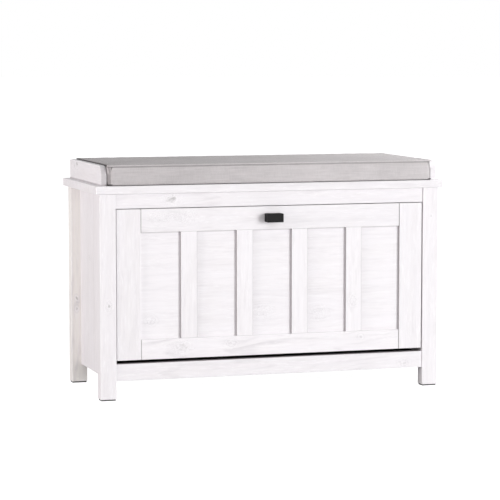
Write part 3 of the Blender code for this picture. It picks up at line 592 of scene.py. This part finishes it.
# Nearly black, partly as painted shade for the inside seen through the gap under the flap.
tempered_and_gap_shade = mottled("oil-tempered hardboard", (0.016, 0.013, 0.011), (0.030, 0.024, 0.020), 650,
                   relief=0.00015, rough=(0.75, 0.90), specular_ior_level=0.20)
dress(tempered_and_gap_shade, "bottom_board")
plastic = mottled("moulded plastic", (0.255, 0.262, 0.272), (0.315, 0.322, 0.332), 1500,
                  relief=0.00008, rough=(0.42, 0.56))
dress(plastic, "bin_side_left", "bin_side_right", "pivot_bush_left", "pivot_bush_right",
      "stop_peg_left", "stop_peg_right")
felt = mottled("pressed felt", (0.055, 0.055, 0.058), (0.14, 0.14, 0.14), 900,
               relief=0.00040, rough=(0.90, 1.0))
dress(felt, "glide_front_left", "glide_front_right", "glide_rear_left", "glide_rear_right")
powder = mottled("black powder coat", (0.005, 0.0045, 0.005), (0.011, 0.010, 0.011), 1100,
                 relief=0.00010, rough=(0.50, 0.64), metallic=0.0, specular_ior_level=0.18)
dress(powder, "handle")
zinc = mottled("zinc plate", (0.50, 0.50, 0.52), (0.68, 0.68, 0.70), 1400, (0.1, 1, 1),
               relief=0.00002, rough=(0.25, 0.40), metallic=1.0)
dress(zinc, *[name for name in nodes if "screw" in name or "pivot_pin" in name])
beech = mottled("beech", (0.47, 0.31, 0.18), (0.66, 0.50, 0.33), 900, (0.12, 1, 1),
                relief=0.00006, rough=(0.60, 0.75))
dress(beech, *[name for name in nodes if name.startswith("dowel")])
print("finishes:", len(bpy.data.materials), "materials")

# %% [markdown]
# ## The seat cushion
#
# A boxed cushion is a block of foam in a cover made of a top, a bottom and a strip round the side,
# with a round welt sewn into both seams. Its faces stay flat where it rests and swell a little
# where it is free, because the foam is cut slightly too large. A bevelled box would look cast. So
# the cover is laid out as a fine grid that already has the block's shape, held along both seams,
# and blown up a little by a cloth simulation. A limit keeps each point near the foam.

# %% Cushion grid
cushion_low, cushion_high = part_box("seat_cushion")
SEAM_INSET = 0.0007
SEAM_ABOVE_SEAT = 0.0012
COVER_CROWN_ROOM = 0.0036
CORNER = 0.0064
CORNER_POWER = 1.25
FINE_CELL = 0.0028
COARSE_CELL = 0.0095
SIDE_CELL = 0.0040
FINE_CELLS = 5
CELL_GROWTH = 1.22


def spaced(low, high, coarse=COARSE_CELL):
    """Grid lines from low to high, close together near both ends."""
    steps = []
    step = FINE_CELL
    reach = (high - low) / 2
    while sum(steps) < reach:
        steps.append(step)
        step = min(coarse, step * (CELL_GROWTH if len(steps) > FINE_CELLS else 1.0))
    shrink = reach / sum(steps)
    lines = [low]
    for step in steps + steps[::-1]:
        lines.append(lines[-1] + step * shrink)
    return lines


def corner_size(dx, dy):
    """How far a point is out from a corner's centre, measured so that the corner is blunt."""
    return (dx ** CORNER_POWER + dy ** CORNER_POWER) ** (1 / CORNER_POWER)


def boxed_mesh(name, xs, ys, zs, shape):
    """A closed box of quads on the given grid lines, with each point moved by shape."""
    grid = bmesh.new()
    made = {}

    def corner(i, j, k):
        if (i, j, k) not in made:
            made[i, j, k] = grid.verts.new(shape(Vector((xs[i], ys[j], zs[k]))))
        return made[i, j, k]

    def quad(places, turned):
        ring = [corner(*place) for place in places]
        grid.faces.new(ring[::-1] if turned else ring)

    last = (len(xs) - 1, len(ys) - 1, len(zs) - 1)
    for i in range(last[0]):
        for j in range(last[1]):
            for k in (0, last[2]):
                quad([(i, j, k), (i + 1, j, k), (i + 1, j + 1, k), (i, j + 1, k)], k == 0)
    for k in range(last[2]):
        for i in range(last[0]):
            for j in (0, last[1]):
                quad([(i, j, k), (i + 1, j, k), (i + 1, j, k + 1), (i, j, k + 1)], j > 0)
        for j in range(last[1]):
            for i in (0, last[0]):
                quad([(i, j, k), (i, j + 1, k), (i, j + 1, k + 1), (i, j, k + 1)], i == 0)
    bmesh.ops.recalc_face_normals(grid, faces=grid.faces)
    mesh = bpy.data.meshes.new(name)
    grid.to_mesh(mesh)
    grid.free()
    return mesh


seam_low = Vector((cushion_low.x + SEAM_INSET, cushion_low.y + SEAM_INSET,
                   cushion_low.z + SEAM_ABOVE_SEAT))
seam_high = Vector((cushion_high.x - SEAM_INSET, cushion_high.y - SEAM_INSET,
                    cushion_high.z - COVER_CROWN_ROOM))
middle = (seam_low + seam_high) / 2
half = (seam_high - seam_low) / 2


def foam_shape(point):
    """Where a point of the square grid lies on the foam, whose upright corners are blunt."""
    inner_x, inner_y = half.x - CORNER, half.y - CORNER
    dx = abs(point.x - middle.x) - inner_x
    dy = abs(point.y - middle.y) - inner_y
    if dx <= 0 or dy <= 0:
        return point
    scale = max(dx, dy) / corner_size(dx, dy)
    moved = Vector(point)
    moved.x = middle.x + math.copysign(inner_x + dx * scale, point.x - middle.x)
    moved.y = middle.y + math.copysign(inner_y + dy * scale, point.y - middle.y)
    return moved


xs, ys = spaced(seam_low.x, seam_high.x), spaced(seam_low.y, seam_high.y)
zs = spaced(seam_low.z, seam_high.z, coarse=SIDE_CELL)
cover_mesh = boxed_mesh("cushion_cover", xs, ys, zs, foam_shape)
cushion = bpy.data.objects.new("cushion_cover", cover_mesh)
bpy.context.scene.collection.objects.link(cushion)
print(len(cushion.data.vertices), "points in the cover,", len(xs), "x", len(ys), "x", len(zs))

# %% [markdown]
# The seams and the whole underside are pinned, so the simulation moves only the top and the side
# strip. Gravity is off: foam carries the cover, and gravity would only drag the points down. After
# the last step each point's travel is limited, more on the broad top than on the narrow sides,
# which have a board beside them.

# %% Swell the cover
CLOTH_FRAMES = 18
TOP_LIMIT = 0.0038
SIDE_LIMIT = 0.0012
TOUCHING = 1e-5
UNMOVED = 1e-9
COVER = {"quality": 6, "mass": 0.25, "tension_stiffness": 18, "compression_stiffness": 18,
         "shear_stiffness": 8, "bending_stiffness": 0.6, "shrink_min": -0.012,
         "use_pressure": True, "uniform_pressure_force": 4.0, "vertex_group_mass": "seams"}


def on_top(point):
    """Whether a point lies on the cover's top, up to its seam."""
    return point.z > seam_high.z - TOUCHING


def on_rim(point):
    """Whether a point of the top lies on the seam round its edge."""
    probe = Vector(point) - middle
    dx = abs(probe.x) - (half.x - CORNER)
    dy = abs(probe.y) - (half.y - CORNER)
    if dx > 0 and dy > 0:
        return corner_size(dx, dy) > CORNER - TOUCHING
    return dx > CORNER - TOUCHING or dy > CORNER - TOUCHING


def swell(piece):
    """Runs a cloth simulation with pressure on a piece and returns the moved points."""
    pins = piece.vertex_groups.new(name="seams")
    held = [vert.index for vert in piece.data.vertices
            if vert.co.z < seam_low.z + TOUCHING or (on_top(vert.co) and on_rim(vert.co))]
    pins.add(held, 1.0, "REPLACE")
    cloth = piece.modifiers.new("cover", "CLOTH")
    for key, value in COVER.items():
        setattr(cloth.settings, key, value)
    cloth.settings.effector_weights.gravity = 0.0
    scene = bpy.context.scene
    for step in range(1, CLOTH_FRAMES + 1):
        scene.frame_set(step)
    evaluated = piece.evaluated_get(bpy.context.evaluated_depsgraph_get())
    moved = [vert.co.copy() for vert in evaluated.data.vertices]
    piece.modifiers.remove(cloth)
    scene.frame_set(1)
    return moved


rest = [vert.co.copy() for vert in cushion.data.vertices]
swollen = swell(cushion)
for vert, before, after in zip(cushion.data.vertices, rest, swollen):
    travel = after - before
    limit = TOP_LIMIT if on_top(before) else SIDE_LIMIT
    if travel.length > UNMOVED:
        vert.co = before + travel * (limit * math.tanh(travel.length / limit) / travel.length)
print("largest travel", round(max((a - b).length for a, b in zip(swollen, rest)) * 1000, 1), "mm")

# %% [markdown]
# The cover is then refined once and folded. Where a flat strip turns round a corner of the block,
# the spare cloth under the top seam gathers into small pleats that run down towards each other,
# and the top puckers a little next to them. They are too fine for the simulation's grid, so they
# are pressed in afterwards: each fold is a short line, and points close to it sink. Last, a slow
# noise makes the faces a little uneven, because foam is never quite true.
#
# Creases, seams and the places where the cover meets the boards are painted darker, as painted
# shade. So each point keeps a number called painted_shade, which the cloth's material reads later.
# It is high in the folds, beside the left board and at the foot, and lower along the seams and in
# a soft band below the pleats of the left corners.

# %% Corner folds
# Each pleat: where it starts and where it ends, as distances from the side, from the front and
# down from the top seam, and its strength.
PLEATS = [
    ((0.0002, CORNER, 0.001), (0.0026, 0.0030, 0.019), 1.0),
    ((CORNER + 0.0020, 0.0, 0.002), (0.0042, 0.0012, 0.011), 1.0),
    ((0.0042, 0.0012, 0.011), (0.0020, 0.0038, 0.019), 0.8),
    ((CORNER + 0.006, 0.004, -0.001), (CORNER + 0.012, 0.016, -0.003), 0.25),
]
PLEAT_REGION = 0.05
FOLD_WIDTH = 0.0015
FOLD_DEPTH = 0.0022
FOLD_FADE = 0.4
FOLD_LEAST = 0.01
SEAM_SHADE = 0.45
RIM_SHADE = 0.22
FOOT_SHADE = 0.95
BAND_SHADE = 0.42
GAP_SHADE = 1.00
REAR_SHADE = 0.40
SEAM_BAND = (0.0008, 0.0042)
GAP_WIDTH = 0.0018
GAP_FROM_FRONT = 0.010
RIM_BAND = (0.0005, 0.0060)
FOOT_BAND = 0.0012
DARK_BAND_WIDTH = 0.0052
DARK_BAND_REACH = 0.025
DARK_BAND_START = 0.016
DARK_BAND_FADE = 0.006
OTHER_BANDS = 0.1
DRIFT = 0.00025
DRIFT_SCALE = (9, 9, 14)
DRIFT_START = 0.004


def apply_modifiers(piece):
    """Keeps the mesh that a piece's modifiers make, and drops the modifiers."""
    evaluated = piece.evaluated_get(bpy.context.evaluated_depsgraph_get())
    mesh = bpy.data.meshes.new_from_object(evaluated)
    piece.modifiers.clear()
    piece.data = mesh


def line_share(point, start, end):
    """Distance from a point to a line from start to end, and how far along it is."""
    line = end - start
    share = max(0.0, min(1.0, (point - start).dot(line) / line.length_squared))
    return (point - (start + line * share)).length, share


def corner_folds(side_x, side_y):
    """Start, end and strength of the pleats at one corner."""
    corner = Vector((middle.x + side_x * half.x, middle.y + side_y * half.y, seam_high.z))

    def at(from_side, from_front, drop):
        return corner + Vector((-side_x * from_side, -side_y * from_front, -drop))

    return [(at(*start), at(*end), weight) for start, end, weight in PLEATS]


def edge_distances(point):
    """How far a point is in from the cushion's ends, and from its front or rear."""
    return half.x - abs(point.x - middle.x), half.y - abs(point.y - middle.y)


def painted_shade_at(point):
    """How much painted shade the cover has at a point by its place, before the folds: 0 to 1."""
    under_top = seam_high.z - point.z
    from_left = point.x - (middle.x - half.x)
    edge_x, edge_y = edge_distances(point)
    if SEAM_BAND[0] < under_top < SEAM_BAND[1]:
        return SEAM_SHADE
    if under_top <= SEAM_BAND[0] and from_left < GAP_WIDTH and edge_y > GAP_FROM_FRONT:
        return GAP_SHADE
    if under_top <= SEAM_BAND[0] and RIM_BAND[0] < min(edge_x, edge_y) < RIM_BAND[1]:
        return RIM_SHADE
    if point.z - seam_low.z < FOOT_BAND:
        return FOOT_SHADE
    if edge_x < DARK_BAND_WIDTH and edge_y < DARK_BAND_REACH and under_top > DARK_BAND_START:
        fade = min(1.0, (under_top - DARK_BAND_START) / DARK_BAND_FADE)
        return BAND_SHADE * fade * (1.0 if from_left < CORNER else OTHER_BANDS)
    return 0.0


def fold_depth(point):
    """How deep a point lies in the corner pleats, 0 to 1."""
    depth = 0.0
    for start, end, weight in folds if max(edge_distances(point)) < PLEAT_REGION else ():
        far, share = line_share(point, start, end)
        close = math.exp(-(far / FOLD_WIDTH) ** 2)
        depth = max(depth, weight * (1 - FOLD_FADE * share) * close)
    return depth


refine = cushion.modifiers.new("refine", "SUBSURF")
refine.levels = refine.render_levels = 1
apply_modifiers(cushion)
folds = [fold for sx in (-1, 1) for sy in (-1, 1) for fold in corner_folds(sx, sy)]
normals = [vert.normal.copy() for vert in cushion.data.vertices]
cover_painted_shade = cushion.data.attributes.new("painted_shade", "FLOAT", "POINT")
sunk = 0
for vert, normal in zip(cushion.data.vertices, normals):
    painted_shade = painted_shade_at(vert.co)
    depth = fold_depth(vert.co)
    if depth > FOLD_LEAST:
        vert.co -= normal * depth * FOLD_DEPTH
        sunk += 1
    # The folds get painted shade as deep as they are pressed in.
    cover_painted_shade.data[vert.index].value = max(painted_shade, depth)
for vert, normal in zip(cushion.data.vertices, normals):
    if vert.co.z > seam_low.z + DRIFT_START:
        drift = noise.noise(Vector([value * scale for value, scale in zip(vert.co, DRIFT_SCALE)]))
        vert.co += normal * drift * DRIFT
cushion.data.shade_smooth()
print(sunk, "points pressed into folds")

# %% [markdown]
# ## Welts
#
# A welt is a cord in a tube of the cover's cloth, caught in the seam, and it is what gives such a
# cushion its drawn outline. It could be a curve with a round profile, but a mesh tube can also be
# uneven, as cloth pulled round a cord is, so each ring of points gets its own small change of
# radius. The upper welt gets painted shade where it runs beside the left board and along the rear,
# and the lower one at both ends, where the boards keep the light off.

# %% Welts along both seams
WELT_RADIUS = 0.0019
WELT_STEP = 0.0040
WELT_SIDES = 10
WELT_CORNER_STEPS = 12
WELT_OUTSET = 0.0002
WELT_LIFT = 0.6
WELT_WOBBLE = 0.10
WOBBLE_SCALE = 130
WELT_DARK_WIDTH = 0.003
WELT_LIGHT_FRONT = 0.012
WELT_DARK_END = 0.0065
UP = Vector((0, 0, 1))


def refine_path(points):
    """Adds points on the long straights so that no step is longer than the welt's."""
    dense = []
    for point, following in zip(points, points[1:] + points[:1]):
        pieces = max(1, round((following - point).length / WELT_STEP))
        dense += [point.lerp(following, i / pieces) for i in range(pieces)]
    return dense


def seam_path(height):
    """Points round the cushion's plan at one height."""
    points = []
    inner_x, inner_y = half.x - CORNER, half.y - CORNER
    for (sx, sy), start in (((1, -1), -90), ((1, 1), 0), ((-1, 1), 90), ((-1, -1), 180)):
        for step in range(WELT_CORNER_STEPS + 1):
            angle = math.radians(start + 90 * step / WELT_CORNER_STEPS)
            dx, dy = abs(math.cos(angle)), abs(math.sin(angle))
            reach = (CORNER + WELT_OUTSET) / corner_size(dx, dy)
            points.append(Vector((middle.x + sx * (inner_x + dx * reach),
                                  middle.y + sy * (inner_y + dy * reach), height)))
    return refine_path(points)


def welt(name, path):
    """A closed tube along a closed path, a little uneven."""
    ring_mesh = bmesh.new()
    rings = []
    for index, point in enumerate(path):
        ahead = (path[(index + 1) % len(path)] - path[index - 1]).normalized()
        outward = ahead.cross(UP).normalized()
        size = WELT_RADIUS * (1 + WELT_WOBBLE * noise.noise(point * WOBBLE_SCALE))
        ring = []
        for side in range(WELT_SIDES):
            angle = 2 * math.pi * side / WELT_SIDES
            offset = outward * math.cos(angle) + UP * math.sin(angle)
            ring.append(ring_mesh.verts.new(point + offset * size))
        rings.append(ring)
    for ring, following in zip(rings, rings[1:] + rings[:1]):
        for side in range(WELT_SIDES):
            after = (side + 1) % WELT_SIDES
            ring_mesh.faces.new((ring[side], ring[after], following[after], following[side]))
    bmesh.ops.recalc_face_normals(ring_mesh, faces=ring_mesh.faces)
    mesh = bpy.data.meshes.new(name)
    ring_mesh.to_mesh(mesh)
    ring_mesh.free()
    mesh.shade_smooth()
    piece = bpy.data.objects.new(name, mesh)
    bpy.context.scene.collection.objects.link(piece)
    return piece


def upper_shade(point):
    """How much painted shade the upper welt has at a point."""
    beside_board = point.x < middle.x - half.x + WELT_DARK_WIDTH
    if beside_board and point.y > middle.y - half.y + WELT_LIGHT_FRONT:
        return GAP_SHADE
    return REAR_SHADE if point.y > middle.y + half.y - WELT_DARK_WIDTH else 0.0


def lower_shade(point):
    """How much painted shade the lower welt has at a point."""
    return FOOT_SHADE if edge_distances(point)[0] < WELT_DARK_END else 0.0


welt_top = welt("cushion_welt_top", seam_path(seam_high.z))
welt_bottom = welt("cushion_welt_bottom", seam_path(seam_low.z + WELT_RADIUS * WELT_LIFT))
for piece, shade_at in ((welt_top, upper_shade), (welt_bottom, lower_shade)):
    welt_painted_shade = piece.data.attributes.new("painted_shade", "FLOAT", "POINT")
    for vert in piece.data.vertices:
        welt_painted_shade.data[vert.index].value = shade_at(vert.co)
print("welts of", len(welt_top.data.vertices), "points each")

# %% [markdown]
# ## Woven cloth
#
# The cover is a plain weave of a warm grey yarn: each thread goes over one and under the next. The
# weave is drawn from two sine waves, one for each set of threads, and a product of the two that
# says which set is on top. On the top the threads run with x and y, and on the sides with the
# height, so three weaves are mixed by the way that the surface faces. Two noises drawn out along
# the threads add the thick and thin places of real yarn, and a broad one makes patches a little
# lighter or darker, as a nap does. Painted shade darkens the cloth by each point's painted_shade
# number, a little on the top, and more towards the left end than the right. The lower welt has a
# material of its own, with painted shade where it turns down to the seat board.

# %% Cloth
CLOTH_DARK = (0.428, 0.406, 0.411, 1.0)
CLOTH_LIGHT = (0.682, 0.647, 0.655, 1.0)
CLOTH_SHADE = (0.060, 0.054, 0.057, 1.0)
THREAD = 0.00085
SLUB = (22, 300, 340)
CROSS_SLUB = (420, 40, 60)
PATCH_SCALE = 9.0
THREAD_SHARE, SLUB_SHARE, CROSS_SLUB_SHARE, PATCH_SHARE = 0.38, 0.34, 0.20, 0.35
# How strongly painted shade darkens the cloth: by each point's number, on the top and towards the
# left end, up to the darkest.
PAINTED_SHADE_WEIGHT = 0.85
TOP_SHADE = 0.06
LEFT_SHADE = 0.11
LEFT_SHADE_FROM, LEFT_SHADE_TO = 0.42, -0.42
DARKEST = 0.92
FOOT_WELT_SHADE = 0.80
TINT_LEVELS = (0.10, 0.80)
# A face counts as turned up or aside, or down at the lower welt, between these two levels.
TURN_LEVELS = (0.6, 0.8)
DOWN_LEVELS = (-0.1, 0.5)
CLOTH_ROUGHNESS, THREAD_SMOOTHER = 0.98, 0.12
THREAD_RELIEF, SLUB_RELIEF, CROSS_SLUB_RELIEF = 0.7, 0.2, 0.1
CLOTH_RELIEF, CLOTH_STRENGTH = 0.00030, 0.7


def weave(finish, first, second):
    """Height from 0 to 1 of a plain weave with threads along two coordinates."""
    one = finish.math("SINE", first * (math.pi / THREAD))
    two = finish.math("SINE", second * (math.pi / THREAD))
    over = one * two * 0.5 + 0.5
    return finish.math("ABSOLUTE", one) * over + finish.math("ABSOLUTE", two) * (1 - over)


def cloth(name, foot=0.0):
    """The cover's cloth; foot says how much painted shade it has where it faces down."""
    finish = Finish(name, roughness=0.92, sheen_weight=0.12, sheen_roughness=0.5,
                    specular_ior_level=0.2)
    place = finish.place()
    x, y, z = finish.split(place)
    facing = finish.facing()
    up, side = (finish.step(finish.math("ABSOLUTE", facing[i]), *TURN_LEVELS) for i in (2, 0))
    flat = weave(finish, x, y)
    front = weave(finish, x, z)
    end = weave(finish, y, z)
    upright = end * side + front * (1 - side)
    threads = flat * up + upright * (1 - up)
    slub = finish.noise(finish.vector("MULTIPLY", place, SLUB), 1.0, 2.0)
    cross_slub = finish.noise(finish.vector("MULTIPLY", place, CROSS_SLUB), 1.0, 2.0)
    patches = finish.noise(place, PATCH_SCALE, 3.0)
    level = (threads * THREAD_SHARE + slub * SLUB_SHARE + cross_slub * CROSS_SLUB_SHARE
             + (patches - 0.5) * PATCH_SHARE)
    tint = finish.mix(finish.step(level, *TINT_LEVELS), CLOTH_DARK, CLOTH_LIGHT)
    painted_shade = finish.node("Attribute", {"attribute_name": "painted_shade"}, out="Fac")
    # Painted shade from each point's number, on faces turned up and towards the left end.
    shaded = (painted_shade * PAINTED_SHADE_WEIGHT + up * TOP_SHADE
              + finish.step(x, LEFT_SHADE_FROM, LEFT_SHADE_TO) * LEFT_SHADE)
    # Painted shade where the lower welt faces down.
    if foot:
        shaded = shaded + finish.step(facing[2] * -1, *DOWN_LEVELS) * foot
    tint = finish.mix(finish.math("MINIMUM", shaded, DARKEST), tint, CLOTH_SHADE)
    finish.colour(tint)
    finish.roughness(CLOTH_ROUGHNESS - threads * THREAD_SMOOTHER)
    height = threads * THREAD_RELIEF + slub * SLUB_RELIEF + cross_slub * CROSS_SLUB_RELIEF
    finish.relief(height, CLOTH_RELIEF, CLOTH_STRENGTH)
    return finish


cover_cloth = cloth("woven cover")
foot_cloth = cloth("woven cover at the foot", foot=FOOT_WELT_SHADE)
for piece, finish in ((cushion, cover_cloth), (welt_top, cover_cloth), (welt_bottom, foot_cloth)):
    piece.data.materials.clear()
    piece.data.materials.append(finish.material)
    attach(piece, "cushion")
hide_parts("seat_cushion")
print("cushion dressed")

# %% [markdown]
# ## Floor, backdrop and light
#
# A high-key studio is white all round: a white floor, a white wall far away, and large soft lamps.
# If one white floor did everything, it would either be grey in the picture or flood the bench from
# below. So there are two at almost the same height: one glows and is seen by the camera alone, and
# one is never seen but gives back most of the light that falls on it, as a real floor does. The
# wall is a large shell that only the camera sees, for the same reason.
#
# A large lamp stands to the right in front. It is near enough that the right end is a little
# brighter, and it draws the handle's soft shadow. A weaker, warmer one at the left lifts the side
# panel, and a small one over the right end of the seat lights the top of the cushion there.

# %% Studio
STUDIO_RADIUS = 45.0
WHITE = (1.0, 1.0, 1.0)
BLACK = (0.0, 0.0, 0.0, 1.0)
FLOOR_GREY = (0.42, 0.42, 0.42, 1.0)
BOUNCE_GREY = (0.69, 0.69, 0.69, 1.0)
FLOOR_GLOW = 0.97
BOUNCE_DEPTH = 0.0005
AIR_LIGHT = 0.52
# Each lamp: where it stands, where it points, its width in metres, its power in watts, its colour.
LAMPS = {
    "key lamp": ((3.45, -5.52, 0.80), (0.0, 0.0, 0.32), 2.6, 309.0, WHITE),
    "side lamp": ((-2.7, -0.7, 0.7), (-0.4, 0.0, 0.3), 1.2, 30.0, (1.0, 0.94, 0.93)),
    "top lamp": ((0.70, 0.0, 1.15), (0.40, 0.0, 0.57), 0.5, 2.8, WHITE),
}


def stage_mesh(name, finish, build):
    """A piece of the studio with its finish, made by build in an empty mesh."""
    piece = bpy.data.objects.new(name, bpy.data.meshes.new(name))
    bpy.context.scene.collection.objects.link(piece)
    shell = bmesh.new()
    build(shell)
    shell.to_mesh(piece.data)
    shell.free()
    piece.data.materials.append(finish.material)
    return piece


def disc(shell):
    bmesh.ops.create_circle(shell, cap_ends=True, radius=STUDIO_RADIUS, segments=96)


def ball(shell):
    bmesh.ops.create_icosphere(shell, subdivisions=4, radius=STUDIO_RADIUS)


floor_finish = Finish("studio floor", base_color=FLOOR_GREY, roughness=0.9,
                      specular_ior_level=0.0, emission_color=(*WHITE, 1.0),
                      emission_strength=FLOOR_GLOW)
bounce_finish = Finish("studio floor bounce", base_color=BOUNCE_GREY, roughness=0.9,
                       specular_ior_level=0.0)
wall_finish = Finish("studio wall", base_color=BLACK, specular_ior_level=0.0,
                     emission_color=(*WHITE, 1.0), emission_strength=1.0)
floor = stage_mesh("floor", floor_finish, disc)
bounce = stage_mesh("floor_bounce", bounce_finish, disc)
wall = stage_mesh("backdrop", wall_finish, ball)
floor.visible_diffuse = floor.visible_glossy = floor.visible_shadow = False
bounce.location.z = -BOUNCE_DEPTH
bounce.visible_camera = False
wall.visible_diffuse = wall.visible_glossy = wall.visible_transmission = False
wall.visible_shadow = False

world = bpy.data.worlds.new("studio air")
bpy.context.scene.world = world
world.use_nodes = True
air = world.node_tree.nodes["Background"].inputs
air["Color"].default_value = (*WHITE, 1.0)
air["Strength"].default_value = AIR_LIGHT


def lamp(name, place, aim, size, power, colour):
    """A square soft lamp at a place, turned to a point."""
    light = bpy.data.lights.new(name, "AREA")
    light.shape = "SQUARE"
    light.size = size
    light.energy = power
    light.color = colour
    piece = bpy.data.objects.new(name, light)
    bpy.context.scene.collection.objects.link(piece)
    piece.location = place
    piece.rotation_euler = (Vector(aim) - Vector(place)).to_track_quat("-Z", "Y").to_euler()
    piece.visible_camera = False


for name, settings in LAMPS.items():
    lamp(name, *settings)
bpy.context.scene.view_settings.view_transform = "Standard"
print("studio lit by", len(bpy.data.lights), "lamps")
